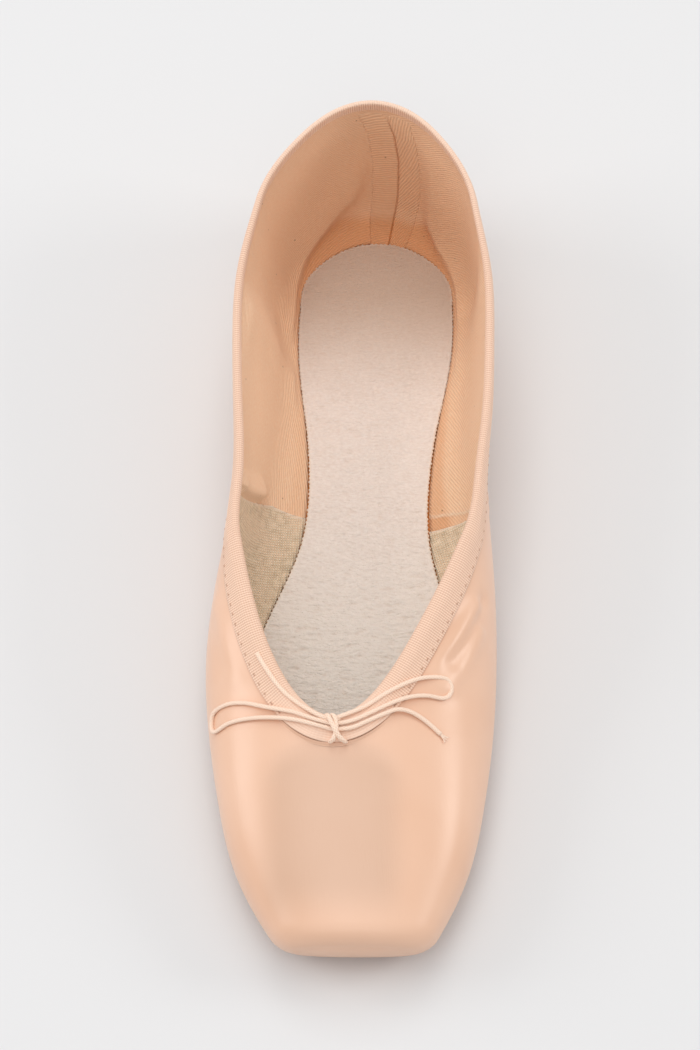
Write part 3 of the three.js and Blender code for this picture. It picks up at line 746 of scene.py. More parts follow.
print("places on the routes:", [len(route) for route in (LEFT_LOOP, LEFT_END, RIGHT_LOOP, RIGHT_END)])

# %% [markdown]
# ### Strands of the bow
# Braid is plaited from fine threads, so its surface is a row of small crossings. A strand could be a
# curve with a round bevel. A grid along the path lets the crossings stand out as real bumps, and gives
# the finish its places along the strand.

# %% Strands of the bow


def walked_along(places):
    """Distance walked along each path of places, which lie along the last axis but one, from its first
    place."""
    steps = np.linalg.norm(np.diff(places, axis=-2), axis=-1)
    return np.concatenate([np.zeros_like(steps[..., :1]), np.cumsum(steps, axis=-1)], axis=-1)


def at_distances(path, distances):
    """Places at given distances along a path, straight between its own places."""
    walked = walked_along(path)
    return np.stack([np.interp(distances, walked, path[:, k]) for k in range(3)], -1)


FINE = 60  # places worked out on a path for each one given


def smooth_path(places, step):
    """Catmull-Rom path through the places, parted by the root of their distances, in steps of one
    length."""
    ends = np.concatenate([[2 * places[0] - places[1]], places, [2 * places[-1] - places[-2]]])
    knots = np.concatenate([[0], np.cumsum(np.sqrt(np.linalg.norm(np.diff(ends, axis=0), axis=1)))])
    fine = np.linspace(knots[1], knots[-2], FINE * len(places))
    i = np.clip(np.searchsorted(knots, fine, side="right") - 1, 1, len(places) - 1)

    def between(first, second, low, high):
        """Straight from first to second while the path goes from one knot to another."""
        part = ((fine - knots[i + low]) / (knots[i + high] - knots[i + low]))[:, None]
        return first * (1 - part) + second * part

    a, b, c = (between(ends[i + k], ends[i + k + 1], k, k + 1) for k in (-1, 0, 1))
    path = between(between(a, b, -1, 1), between(b, c, 0, 2), 0, 1)
    length = walked_along(path)[-1]
    return at_distances(path, np.linspace(0, length, int(length / step) + 2)), length


CORD_SIDES = 12
BRAID_RELIEF, BRAID_TWIST = 0.16, 1.5  # share of the radius, and waves of the plait along one diameter


def strand(path, diameter, flatness=CORD_FLAT, sides=CORD_SIDES, upright=(0, 0, 1)):
    """A round profile carried along a path, with the crossings of a plait as low bumps, closed at both
    ends."""
    along = unit(np.gradient(path, axis=0))
    side = unit(np.cross(along, upright))
    up = np.cross(side, along)
    walked = walked_along(path)
    angle = np.linspace(0, 2 * np.pi, sides + 1)
    phase = walked[:, None] * BRAID_TWIST * 2 * np.pi / diameter / 4
    plait = np.abs(np.cos(angle * 2 + phase)) * np.abs(np.cos(angle * 2 - phase))
    radius = diameter / 2 * (1 + BRAID_RELIEF * (plait - 0.5))
    radius[[0, -1]] = 0
    out = np.cos(angle)[:, None] * side[:, None] + flatness * np.sin(angle)[:, None] * up[:, None]
    cloth = np.stack(np.broadcast_arrays(angle * diameter / 2, walked[:, None]), -1)
    return grid(path[:, None] + radius[..., None] * out, cloth, flip=True)


CORD_STEP = 0.3
CAP = 0.02  # share of a step from the middle of a closed end to its rim
KNOT_LIFT, KNOT_LIFT_REACH = 0.4, 9  # the tape swells round the knot, and the strands ride up on it
cords = []


def tie(name, route, node, far_end):
    """One strand of the bow, raised by a bell round the knot, as a mesh along a smooth path; the path and its
    length are kept in a list."""
    lifted = KNOT_LIFT * bump(np.linalg.norm(route - KNOT_PLACE, axis=1), KNOT_LIFT_REACH)
    path, length = smooth_path(route + lifted[:, None] * KNOT_NORMAL, CORD_STEP)
    path = np.concatenate([path[:1], path, path[-1:]])
    path[1], path[-2] = path[1] + (path[2] - path[1]) * CAP, path[-2] + (path[-3] - path[-2]) * CAP
    obj = piece(name, strand(path, CORD), BRAID, [node])
    cords.append((obj, path, length, far_end))
    print(name, round(length, 1), "mm long")


tie("bow_loop_left", LEFT_LOOP, "drawstring_loop_left", "knot")
tie("bow_end_left", LEFT_END, "drawstring_end_left", "bare")
tie("bow_loop_right", RIGHT_LOOP, "drawstring_loop_right", "knot")
tie("bow_end_right", RIGHT_END, "drawstring_end_right", "bare")

# %% [markdown]
# ### Knot
# Where the bow is tied, turns of the same braid cross over the strands and pull them against the tape.
# Most of a whole knot would be hidden, so only the two turns that show are made, each as an arch.

# %% Knot
KNOT_STEPS = 60
KNOT_STRAND, KNOT_PLUMP = 1.1, 1.15  # a strand's width in the knot, and its height for that width
WRAP_FRONT, WRAP_REAR = 4.6, 2.5  # a turn runs from the slit over the strands to the back of the tape's fold
WRAP_FOOT, WRAP_TOP = 0.2, ON_TAPE + KNOT_LIFT + 0.9  # heights of its ends and of its middle above the last
ARCH_FLAT = 0.35  # a power below 1 makes the arch steep at its feet and flat in the middle
# Turns of the knot: places to the right at its foot, middle and top, and the height above the turn below
KNOT_TURNS = [(-1.1, 0.75, -0.2, 0.0), (3.0, 0.1, -1.4, 0.45)]


def wrap(foot, middle, top, above):
    """One turn of the knot: a flattened arch over the strands, shifted sideways on a parabola through three
    places."""
    angle = np.linspace(0, np.pi, KNOT_STEPS)
    part = angle / np.pi
    right = foot * (1 - part) * (1 - 2 * part) + middle * 4 * part * (1 - part) + top * part * (2 * part - 1)
    back = (WRAP_REAR - WRAP_FRONT) / 2 - (WRAP_REAR + WRAP_FRONT) / 2 * np.cos(angle)
    arch = np.abs(np.sin(angle))
    up = WRAP_FOOT + (WRAP_TOP - WRAP_FOOT) * arch**ARCH_FLAT + above * arch**2
    path = KNOT_PLACE + back[:, None] * unit(KNOT_ALONG) + up[:, None] * KNOT_NORMAL
    path[:, 0] += right
    return strand(path, KNOT_STRAND, KNOT_PLUMP, upright=(1, 0, 0))


knot = piece("bow_knot", join(*[wrap(*places) for places in KNOT_TURNS]), BRAID, ["drawstring_knot"])

# %% [markdown]
# ### Frayed tip
# The right end is cut and not sealed, so its threads fan out. A few thin fibres on parabolas are enough
# at this size.

# %% Frayed tip
FIBRES, FIBRE_THICK, FIBRE_SIDES = 9, 0.2, 5
FIBRE_LENGTH, FIBRE_UNEVEN = 2.1, 0.5
FRAY_ROOT, FRAY_SPREAD = 0.3, 0.75  # half-width where the fibres leave the strand, and how far they bend out


def frayed_tip(path):
    """Fibres fanned out from a strand's cut end, each a thin profile on a parabola that bends outwards."""
    start, ahead = path[-1], unit(path[-1] - path[-8])
    side = unit(np.cross(ahead, [0, 0, 1.0]))
    part = np.linspace(-0.25, 1, 9)[:, None]
    spread = np.linspace(-1, 1, FIBRES)
    reach = FIBRE_LENGTH + FIBRE_UNEVEN * np.cos(spread * 7)
    paths = [start + ahead * part * length + side * (FRAY_ROOT * lean + FRAY_SPREAD * lean * part**2)
             for lean, length in zip(spread, reach)]
    return join(*[strand(path, FIBRE_THICK, 1.0, FIBRE_SIDES) for path in paths])


fray = piece("bow_fray_right", frayed_tip(cords[3][1]), BRAID)

# %% [markdown]
# ## Collar
# The collar is the ring where cloth and tape meet. Evenly spaced marks run round it, from the throat
# along the right side to the heel and back along the left. From each mark a walk over the last, straight
# down from the edge, gives the places for the tape and the distance from the collar for the cloth.

# %% Marks round the collar
HALF_RING = 1500  # places on each half of the fine ring


def ring_station(along):
    """Run on the collar: from the throat (0) to the back (1) and back to the throat (2), as a square."""
    return THROAT_AT + (BACK - THROAT_AT) * np.where(along > 1, 2 - along, along) ** 2


def collar_ring(count):
    """Evenly spaced marks on the collar. A fine ring, closer at the throat, is walked along and divided."""
    part = np.linspace(0, 1, HALF_RING)
    along = np.concatenate([part, 1 + part[1:]])
    run = ring_station(along)
    walked = walked_along(on_last(run, collar_share(run), np.where(along > 1, -1, 1)))
    mark = np.interp(np.arange(count) * walked[-1] / count, walked, along)
    run = ring_station(mark)
    return run, collar_share(run), np.where(mark > 1, -1.0, 1.0), walked[-1]


def walk_down(run, share, hand, distance, strides):
    """From every mark at once, strides of one length over the last, straight away from the collar."""
    place = on_last(run, share, hand)
    tangent = np.roll(place, -1, axis=0) - np.roll(place, 1, axis=0)
    along_run, along_share, normal = slopes(run, share, hand)
    heading = unit(np.cross(tangent, normal))
    places, normals = [place], [normal]
    for _ in range(strides):
        heading = unit(heading - (heading * normal).sum(-1, keepdims=True) * normal)
        rr, ss = (along_run * along_run).sum(-1), (along_share * along_share).sum(-1)
        rs = (along_run * along_share).sum(-1)
        by_run, by_share = (heading * along_run).sum(-1), (heading * along_share).sum(-1)
        scale = distance / strides / (rr * ss - rs**2)
        run = np.minimum(run + scale * (by_run * ss - by_share * rs), BACK)
        share = np.minimum(share + scale * (by_share * rr - by_run * rs), 1)
        along_run, along_share, normal = slopes(run, share, hand)
        places.append(on_last(run, share, hand))
        normals.append(normal)
    return np.array(places), np.array(normals), unit(np.cross(tangent, normals[0]))


RIB_PITCH = 0.66
RIB_STEPS = 4  # points along the tape on each rib
*_, COLLAR_LENGTH = collar_ring(RIB_STEPS)
RIBS = round(COLLAR_LENGTH / RIB_PITCH)
ring_run, ring_share, ring_hand, _ = collar_ring(RIBS * RIB_STEPS)
ring_places = on_last(ring_run, ring_share, ring_hand)
around = np.arange(RIBS * RIB_STEPS) * COLLAR_LENGTH / (RIBS * RIB_STEPS)
from_throat = np.minimum(around, COLLAR_LENGTH - around)  # distance from the throat along the collar
print("collar", round(COLLAR_LENGTH, 1), "mm round,", RIBS, "ribs")

# %% [markdown]
# ## Satin upper
# The satin covers the last from the outsole's opening to the collar, in two halves that share the crown,
# the toe and the back seam, with a domed platform closing the toe. Seams, wrinkles, the end of the
# stiffened toe and the pleats under it are raised or sunk along the cloth's own normals, because
# stretched satin shows only soft relief.

# %% Satin grid
SATIN_THICK = 0.4
CLOTH_SHARES = np.linspace(0, 1, 61)
TOE_ANGLES = np.linspace(0, np.pi / 2, 10)
SIDE_SEAM_TOP, SIDE_SEAM_FOOT = 121, 134  # run of the side seam at the collar and at the feather edge
SIDE_SEAM_MID, SEAM_LEAN_REACH = (SIDE_SEAM_TOP + SIDE_SEAM_FOOT) / 2, 24
SEAM_STEPS = np.array([0, 0.13, 0.26, 0.42, 0.62, 0.9, 1.25, 1.6, 2.1, 2.7])
STATIONS = np.unique(np.concatenate([
    PLATFORM_ROUND * (1 - np.cos(TOE_ANGLES)),
    np.linspace(PLATFORM_ROUND, SOLE_FROM - FEATHER_GAP, 12),
    np.linspace(SOLE_FROM, THROAT_AT - 10, 34),
    np.linspace(THROAT_AT - 10, THROAT_AT + 6, 60),
    np.linspace(THROAT_AT + 6, THROAT_END, 46),
    np.linspace(THROAT_END, HEEL_AT, 100),
    SIDE_SEAM_MID + SEAM_STEPS, SIDE_SEAM_MID - SEAM_STEPS,
    np.linspace(HEEL_AT, BACK, 40),
    BACK - SEAM_STEPS]))


def levels_to_shares(run, level):
    """Shares from the feather edge (level 0) to the collar (level 1)."""
    feather, collar = feather_share(run), collar_share(run)
    return feather + (collar - feather) * level


def half_of_upper(stations, hand):
    """Places of one half: shares from the feather edge to the collar, on stations that lean onto the side
    seam."""
    near_seam = smooth(-np.abs(stations - SIDE_SEAM_MID), -SEAM_LEAN_REACH, 0)
    lean = SIDE_SEAM_FOOT + (SIDE_SEAM_TOP - SIDE_SEAM_FOOT) * CLOTH_SHARES - SIDE_SEAM_MID
    run = stations[:, None] + near_seam[:, None] * lean
    share = levels_to_shares(run, CLOTH_SHARES)
    return run, share, on_last(run, share, hand)


def cloth_of(places, run, hand):
    """Places on the cloth: across, measured down from the collar, and along the shoe."""
    across = walked_along(places)
    return np.stack([hand * (across[:, -1:] - across), run], -1)


PLATFORM_RINGS = 12


def platform(rim, flip, **values):
    """Half of the domed platform: rings that shrink from the rim to its middle and stand out as a
    parabola."""
    size = np.linspace(1, 0, PLATFORM_RINGS)[:, None, None]
    middle = (rim[0] + rim[-1]) / 2
    places = middle + (rim - middle) * size
    places[..., 1] -= PLATFORM_DOME * (1 - size[..., 0] ** 2)
    return grid(places, places[..., ::2], flip, **values)


def upper_half(hand):
    """One half of the upper and of its platform. Every point keeps its run, share and hand."""
    run, share, places = half_of_upper(STATIONS, hand)
    side = float(hand)
    return [grid(places, cloth_of(places, run, hand), hand < 0, run=run, share=share, hand=side),
            platform(places[0], hand > 0, run=0.0, share=share[0], hand=side)]


upper = weld(join(*upper_half(-1), *upper_half(1)))
upper_normals = point_normals(upper)
cad = np.array([corner.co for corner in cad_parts["upper"].data.vertices]) / MM
sample = cad[:: len(cad) // 400]
nearest = np.sqrt(((sample[:, None] - upper["points"][None, ::3]) ** 2).sum(-1).min(1))
print("upper:", len(upper["points"]), "points")
print("CAD corners lie within", round(float(nearest.max()), 2), "mm of it")

# %% [markdown]
# ### Relief of the satin
# A seam is a narrow groove between two soft puffs, the paste in the toe ends in a shallow dent, and small
# wrinkles pull at the shoulders. All of them are low. Bells and smooth steps of a distance are enough for
# them, and no cloth has to be simulated.

# %% Relief of the satin
SEAM_DEPTH, SEAM_GROOVE = 0.4, 0.4  # depth and half-width of a seam's groove
SEAM_PUFF, SEAM_PUFF_AT, SEAM_PUFF_WIDTH = 0.16, 1.5, 1.0
SEAM_LINE, SEAM_TONE = 0.35, 0.7  # half-width and strength of the dark line in it
# Run of the stiffened toe's end at the crown; beside it the end comes forward by x squared over a length
BOX_END, BOX_CURVE = 47, 62.0
BOX_DEPTH, BOX_WIDTH, BOX_REACH, BOX_FADE = 0.26, 2.6, 21, 9
PASTE_SHADE_ALL, PASTE_SHADE_LINE = 0.5, 0.3  # paste stain and painted shade on the whole stiffened toe, and more along its end
# Soft wrinkles of the satin on the shoulders: hand, height, half-width, and places as run and share
WRINKLES = [
    (1, 1.25, 2.4, [(70, 0.85), (80, 0.805), (90, 0.775)]),
    (1, -0.8, 2.0, [(73, 0.79), (83, 0.762), (93, 0.742)]),
    (1, 0.85, 2.2, [(66, 0.79), (76, 0.748), (84, 0.725)]),
    (-1, 0.45, 3.0, [(68, 0.8), (80, 0.77), (92, 0.75)]),
    (-1, -0.4, 2.6, [(72, 0.76), (86, 0.735)]),
]


def nearest_distance(points, ring):
    """Distance from each point to the nearest mark of a ring, in blocks to save memory."""
    blocks = np.array_split(points.astype(np.float32), max(len(points) // 2000, 1))
    ring = ring.astype(np.float32)
    square = (ring**2).sum(1)
    return np.concatenate([
        np.sqrt(np.maximum(((block**2).sum(1)[:, None] + square - 2 * block @ ring.T).min(1), 0))
        for block in blocks])


WALL_LENGTH = 62.0  # a whole share of the wall in mm


def line_distance(along_edge, share, line):
    """Distance in mm to a line of short straight stretches, and on which side of it a place lies."""
    spot = np.stack([along_edge, share * WALL_LENGTH], -1)[..., None, :]
    ends = np.array(line) * [1, WALL_LENGTH]
    start, along = ends[:-1], np.diff(ends, axis=0)
    part = np.clip(((spot - start) * along).sum(-1) / (along**2).sum(-1), 0, 1)
    away = np.linalg.norm(spot - start - part[..., None] * along, axis=-1)
    turned = along[:, 0] * (spot - start)[..., 1] - along[:, 1] * (spot - start)[..., 0]
    nearest = away.argmin(-1)[..., None]
    return np.take_along_axis(away, nearest, -1)[..., 0], np.take_along_axis(turned, nearest, -1)[..., 0]


PLEAT_TURN, PLEAT_DEPTH, PLEAT_REACH = 0.14, 0.6, 12  # angle from pleat to pleat, depth, length


def pleats(points, from_feather):
    """Under the toe the satin is gathered onto the outsole: troughs on rays from the middle of the
    outsole's round front, deepest at its edge. A squared sine of the angle gives them, and a smooth step
    ends them."""
    ray = np.arctan2(points[:, 0] - KNOT_PLACE[0], SOLE_FROM + SOLE_ROUND - MIDDLE - points[:, 1])
    in_front = smooth(np.cos(ray), 0.15, 0.5)
    length = PLEAT_REACH * (0.75 + 0.25 * np.cos(ray * 17))
    troughs = np.sin(np.pi * ray / PLEAT_TURN) ** 2
    return -PLEAT_DEPTH * troughs * in_front * smooth(-from_feather, -length, -1)


def seam_profile(distance):
    """A sewn seam: a narrow groove between two soft puffs."""
    puffs = SEAM_PUFF * bump(np.abs(distance) - SEAM_PUFF_AT, SEAM_PUFF_WIDTH)
    return puffs - SEAM_DEPTH * bump(distance, SEAM_GROOVE)


run, share, hand = (upper["values"][key] for key in ("run", "share", "hand"))
from_collar = nearest_distance(upper["points"], ring_places[::4])
feather, collar = feather_share(run), collar_share(run)
height = (share - feather) / (collar - feather + 1e-9)
side_seam = run - (SIDE_SEAM_FOOT + (SIDE_SEAM_TOP - SIDE_SEAM_FOOT) * height)
back_seam = (BACK - run) * section_reach(run, share) * TURN_PER_RUN
x = upper["points"][:, 0] - KNOT_PLACE[0]
box_end = run - (BOX_END - x**2 / BOX_CURVE)
on_top = smooth(share, 0.62, 0.75) * (run < THROAT_AT)
boxed = smooth(-np.abs(x), -BOX_REACH, -BOX_REACH + BOX_FADE) * on_top
wrinkled = sum(rise * bump(line_distance(run, share, line)[0], width) * (hand == of)
               for of, rise, width, line in WRINKLES)
below_tape = smooth(from_collar, TAPE_OUTSIDE - 1, TAPE_OUTSIDE + 4)
behind_toe = STATIONS[STATIONS > SOLE_FROM]
feather_line = [on_last(behind_toe, feather_share(behind_toe), side) for side in (-1, 1)]
from_feather = nearest_distance(upper["points"], np.concatenate(feather_line))
satin_relief = (seam_profile(side_seam) + seam_profile(back_seam) * (run > HEEL_AT)
                - BOX_DEPTH * bump(box_end, BOX_WIDTH) * boxed + wrinkled * below_tape
                + pleats(upper["points"], from_feather) * (share < 0.45))
seam_lines = np.maximum(bump(side_seam, SEAM_LINE), bump(back_seam, SEAM_LINE) * (run > HEEL_AT))
# Paste stain and painted shade darken the stiffened toe, most along its end.
pasted = smooth(run, 1, 14) * boxed
paste = (PASTE_SHADE_ALL * smooth(-box_end, -1, 4) + PASTE_SHADE_LINE * bump(box_end, BOX_WIDTH)) * pasted
satin = dict(upper, points=upper["points"] + satin_relief[:, None] * upper_normals,
             values={"seam": seam_lines * SEAM_TONE, "paste": paste})
piece("satin_upper", satin, SATIN, ["upper"], SATIN_THICK)

# %% [markdown]
# ## Linings
# Inside, canvas lines the front and cotton twill the quarters. The canvas ends in a cut edge along each
# side seam and lies over the twill, which puffs up behind it on the left. At the heel the two twill
# quarters meet in a seam whose allowances are pressed open to either side. Soft ridges and troughs, each
# along a short given line, give the folds that the loose lining has.

# %% Canvas in front
LINING_THICK = 0.4
# Depths below the last's surface; at the collar the tape presses both linings flat
CANVAS_DEPTH, TWILL_DEPTH, EDGE_DEPTH = 1.75, 1.35, 0.8
# The canvas's cut edge on each side, as share of the wall and run
CANVAS_EDGE = {
    -1: [(0.1, 134.9), (0.16, 135.2), (0.26, 136), (0.34, 136.1), (0.45, 134), (0.58, 131), (0.72, 127.7),
         (1, 121)],
    1: [(0.1, 130.8), (0.16, 130.9), (0.23, 131.3), (0.35, 131.1), (0.6, 128), (1, 122.5)],
}
EDGE_RUN = 130  # shares along the cut edge are counted on this section
STRAIGHT_TO = 100  # in front of this run the canvas follows the upper's stations


def cut_edge(line, level):
    """Run of a cut edge at each level, straight between the places of its line."""
    return np.interp(levels_to_shares(np.array([EDGE_RUN]), level), *np.array(line).T)


def lining_depth(full, below_collar):
    """Depth of a lining's face: flat at the collar, full from a thumb's breadth below it."""
    return EDGE_DEPTH + (full - EDGE_DEPTH) * smooth(below_collar, 1.5, 10)


def canvas_half(hand):
    """One half of the canvas: the upper's own grid, with its last stations leaning onto the cut edge."""
    end = cut_edge(CANVAS_EDGE[hand], CLOTH_SHARES)
    stations = STATIONS[STATIONS < end.mean()]
    run = stations[:, None] + smooth(stations, STRAIGHT_TO, stations[-1])[:, None] * (end - stations[-1])
    places = on_last(run, levels_to_shares(run, CLOTH_SHARES), hand)
    edge = smooth(stations, stations[-1] - 1.0, stations[-1])[:, None]
    return [grid(places, cloth_of(places, run, hand), hand < 0, edge=edge),
            platform(places[0], hand > 0, edge=0.0)]


canvas = weld(join(*canvas_half(-1), *canvas_half(1)))
below = nearest_distance(canvas["points"], ring_places[::4])
canvas["points"] = canvas["points"] - lining_depth(CANVAS_DEPTH, below)[:, None] * point_normals(canvas)
canvas["quads"], canvas["uv"] = canvas["quads"][:, ::-1], canvas["uv"][:, ::-1]
piece("canvas_lining", canvas, CANVAS, thick=LINING_THICK)

# %% [markdown]
# ### Folds of the twill
# The lining is held at its edges and loosens in wear, so it stands in soft folds round the heel. A
# simulated cloth would fold wherever it liked. Listed lines put each ridge and trough where it
# belongs.

# %% Folds of the twill
LEAST_DEPTH = 0.8
# The seam at the heel, as share of the wall and distance to the right of the back line
BACK_SEAM = [(0.15, 4.1), (0.35, 4.8), (0.54, 5.8), (0.72, 6.3), (0.85, 5.5), (1.0, 2.3)]
# Folds: height in mm (a trough is negative), half-widths on the line's left and right as it goes, and its
# places as distance round the heel from the back line (left is negative) and share of the wall
FOLDS = [
    (2.1, 4.2, 12.0, [(-5, 0.6), (-9.3, 0.53), (-19, 0.43), (-27, 0.375), (-35, 0.31), (-48, 0.27)]),
    (2.1, 12.0, 4.2, [(11, 0.68), (15.6, 0.6), (18, 0.46), (24, 0.34), (38, 0.27), (50, 0.25)]),
    (-0.9, 5.0, 5.0, [(-60, 0.95), (-54, 0.7), (-51.5, 0.5), (-61, 0.26)]),
    (1.5, 6.0, 9.0, [(-72, 0.95), (-66, 0.6), (-72, 0.3)]),
    (-0.8, 4.0, 4.0, [(46, 0.85), (48.3, 0.5), (53.8, 0.28)]),
    (0.8, 6.0, 6.0, [(62, 0.9), (64, 0.5), (68, 0.3)]),
    (2.6, 2.0, 4.2, [(-116.5, 0.5), (-119.5, 0.62), (-122, 0.72), (-124.5, 0.82)]),
    (-0.5, 3.0, 3.0, [(-119, 0.34), (-123, 0.6), (-127, 0.85)]),
    (0.6, 5.0, 5.0, [(96, 0.9), (98, 0.6), (104, 0.3)]),
]


def twill_depth(round_heel, run, share):
    """Depth of the twill's face: the lining's own depth and the sum of the folds, each a bell across its
    line."""
    total = np.zeros(run.shape)
    for height, left_width, right_width, line in FOLDS:
        away, turned = line_distance(round_heel, share, line)
        total = total + height * bump(away, np.where(turned > 0, left_width, right_width))
    from_seam = np.abs(round_heel - np.interp(share, *np.array(BACK_SEAM).T))
    below = (collar_share(run) - share) * WALL_LENGTH
    total = total * smooth(from_seam, 5.5, 13) * smooth(below, 2, 10)
    total = total * smooth(share - feather_share(run), 0.01, 0.06)
    return np.maximum(lining_depth(TWILL_DEPTH, below) + total, LEAST_DEPTH)


print(len(FOLDS), "folds")

# %% [markdown]
# ### Twill quarters
# Two pieces of twill line the back half. They meet at the heel's seam and run on under the canvas in
# front. Painted shade darkens them at the heel and just above the insole, and values on the points carry
# that painted shade to the finish.

# %% Twill quarters
OVERLAP = 5  # the twill runs on under the canvas
# The right quarter's edge, as share of the wall and run; in front of it the cloth lies a step lower
TWILL_EDGE = [(0.1, 135.5), (0.16, 135.5), (0.22, 135.3), (0.34, 133.8), (0.6, 130), (1, 124.5)]
EDGE_STEP = 0.35
FOOT_PAINTED_SHADE = {-1: 0.12, 1: 0.34}  # painted shade of each quarter just above the insole, where the insole's edge shades the lining
FOOT_FROM, FOOT_TO = 3.8, 5.4  # heights between which that shade fades
QUARTER_TURN = {-1: 24, 1: -4}  # degrees that the threads of each quarter are turned


def turned_cloth(across, up, degrees):
    """Places on the cloth turned by an angle, so that its lines run another way."""
    cos, sin = np.cos(np.radians(degrees)), np.sin(np.radians(degrees))
    return np.stack([across * cos - up * sin, across * sin + up * cos], -1)


# painted shade all round the heel, and more in the recess below its two folds
HEEL_PAINTED_SHADE, RECESS_PAINTED_SHADE = 0.2, 0.42
# Upper line of the painted shade below the folds, as distance round the heel and share of the wall
SHADE_LINE = [(-48, 0.27), (-35, 0.31), (-27, 0.375), (-19, 0.43), (-12, 0.45), (-4, 0.38), (10, 0.38),
               (16, 0.46), (18, 0.44), (24, 0.34), (38, 0.27), (50, 0.25)]


def heel_shade(round_heel, share):
    """Painted shade on the lining: a little all round the heel, more below the line of the two folds
    there."""
    below_line = smooth(np.interp(round_heel, *np.array(SHADE_LINE).T) - share, -0.02, 0.1)
    return (HEEL_PAINTED_SHADE + RECESS_PAINTED_SHADE * below_line) * smooth(-np.abs(round_heel), -75, -40)


def quarter(hand):
    """One twill quarter, from the seam at the heel to its front edge under the canvas, closer at both
    ends."""
    along = (0.5 - 0.5 * np.cos(np.pi * np.linspace(0, 1, 190)))[:, None]
    level = np.linspace(0, 1, 60)
    reach = BACK - cut_edge(CANVAS_EDGE[hand], level) + OVERLAP
    seam = np.interp(levels_to_shares(np.array([BACK]), level), *np.array(BACK_SEAM).T)
    round_heel = seam + along * (reach * hand - seam)
    run, side = BACK - np.abs(round_heel), np.where(round_heel < 0, -1.0, 1.0)
    share = levels_to_shares(run, level)
    depth = twill_depth(round_heel, run, share)
    past_edge = np.full(run.shape, -OVERLAP * 1.0)
    if hand > 0:
        past_edge = np.interp(share, *np.array(TWILL_EDGE).T) - run
    depth = depth - EDGE_STEP * smooth(past_edge, -0.25, 0.15)
    places = on_last(run, share, side) - depth[..., None] * slopes(run, share, side)[2]
    foot = smooth(lift(run) - places[..., 2], -FOOT_TO, -FOOT_FROM) * smooth(np.abs(round_heel), 40, 60)
    edge = 0.6 * bump(past_edge + 0.2, 0.3)
    # shade: the darker seam tape in front of the right quarter's edge, and painted shade at the heel and just
    # above the insole
    shade = 0.15 * smooth(past_edge, -0.1, 0.3) + heel_shade(round_heel, share) + FOOT_PAINTED_SHADE[hand] * foot
    cloth = turned_cloth(round_heel, walked_along(places), QUARTER_TURN[hand])
    return grid(places, cloth, hand < 0, edge=edge, shade=shade)


for name, hand in (("left", -1), ("right", 1)):
    piece(f"twill_lining_{name}", quarter(hand), TWILL, thick=LINING_THICK)

# %% [markdown]
# ### Seam allowances
# Beside a seam the cut edges are left as narrow strips, pressed open and a little ragged. They are grids
# of their own on the twill's face, because their threads run another way than those of the quarters.

# %% Seam allowances at the heel
BAND_WIDTH = {-1: 7.0, 1: 6.5}
BAND_RISE, BAND_THICK = 0.3, 0.25
BAND_TOP, BAND_FOOT = 0.95, 0.12
BAND_TURN = {-1: 20, 1: -30}  # degrees that each strip's own threads are turned


def allowance(hand):
    """A strip beside the back seam on the twill's own face, raised a little and flush at its ragged outer
    edge."""
    part = np.linspace(0, 1, 16)[:, None]
    share = np.linspace(BAND_FOOT, BAND_TOP, 110)
    seam = np.interp(share, *np.array(BACK_SEAM).T)
    ragged = 0.12 * np.sin(share * 700) + 0.1 * np.sin(share * 233 + 1)
    out = 0.04 + part * (BAND_WIDTH[hand] + ragged)
    round_heel = seam + hand * out
    run, side = BACK - np.abs(round_heel), np.where(round_heel < 0, -1.0, 1.0)
    share = np.broadcast_to(share, run.shape)
    rise = BAND_RISE * (1 - 0.8 * part**8) * smooth(BAND_TOP - share, 0, 0.04) - 0.2 * bump(out, 0.5)
    depth = twill_depth(round_heel, run, share) + rise
    places = on_last(run, share, side) - depth[..., None] * slopes(run, share, side)[2]
    # painted shade round the heel, and a dark line along the seam
    toned = heel_shade(round_heel, share) + 0.4 * bump(out, 0.2) * smooth(BAND_TOP - share, 0.02, 0.1)
    cloth = turned_cloth(hand * out, share * WALL_LENGTH, BAND_TURN[hand])
    return grid(places, cloth, hand < 0, edge=0.0, shade=toned)


for name, hand in (("left", -1), ("right", 1)):
    piece(f"seam_allowance_{name}", allowance(hand), TWILL_STRIP, thick=BAND_THICK)

# %% [markdown]
# ## Binding
# A ribbed tape folds over the collar: an outer leg sewn down on the satin, a round fold with the
# drawstring inside, and a short inner leg. The section is carried round the collar, and each rib is a
# small wave along it. At the throat the outer edge stands off, where the drawstring comes out, over a
# narrow lip of satin.

# %% Tape
RIB_HEIGHT = 0.17
COLLAR_WALL, TAPE_SKIN, TAPE_CLEAR = 0.9, 0.5, 0.06  # satin and lining pressed together; the tape; its gap
OUTER_STRIDES = 15  # over the width of the outer leg
OUTER_STEPS, INNER_STEPS = [15, 14, 12, 10, 8, 6, 4, 2, 1], [2, 4, 6, 7]  # strides that get a row of points
UNDER_ROWS = [0, 4, 8, 12, 16, -1]  # rows that the underside keeps
FOLD_ANGLES = np.linspace(0, np.pi, 8)
CHANNEL_AT, CHANNEL_RISE, CHANNEL_WIDTH = 1.8, 0.38, 1.3  # the drawstring swells the tape below its fold
PUFF, PUFF_REACH = 0.3, 38  # the tape stands thicker round the bow, where the drawstring gathers it
SLIT_FROM, SLIT_TO, SLIT_RISE = 1.2, 12.0, 0.45
HEEL_SLIM = 0.4  # share of its thickness that the collar loses towards the heel
FOLD_HIGHLIGHT = 0.75  # how far a painted highlight fills the grooves on the heel's fold


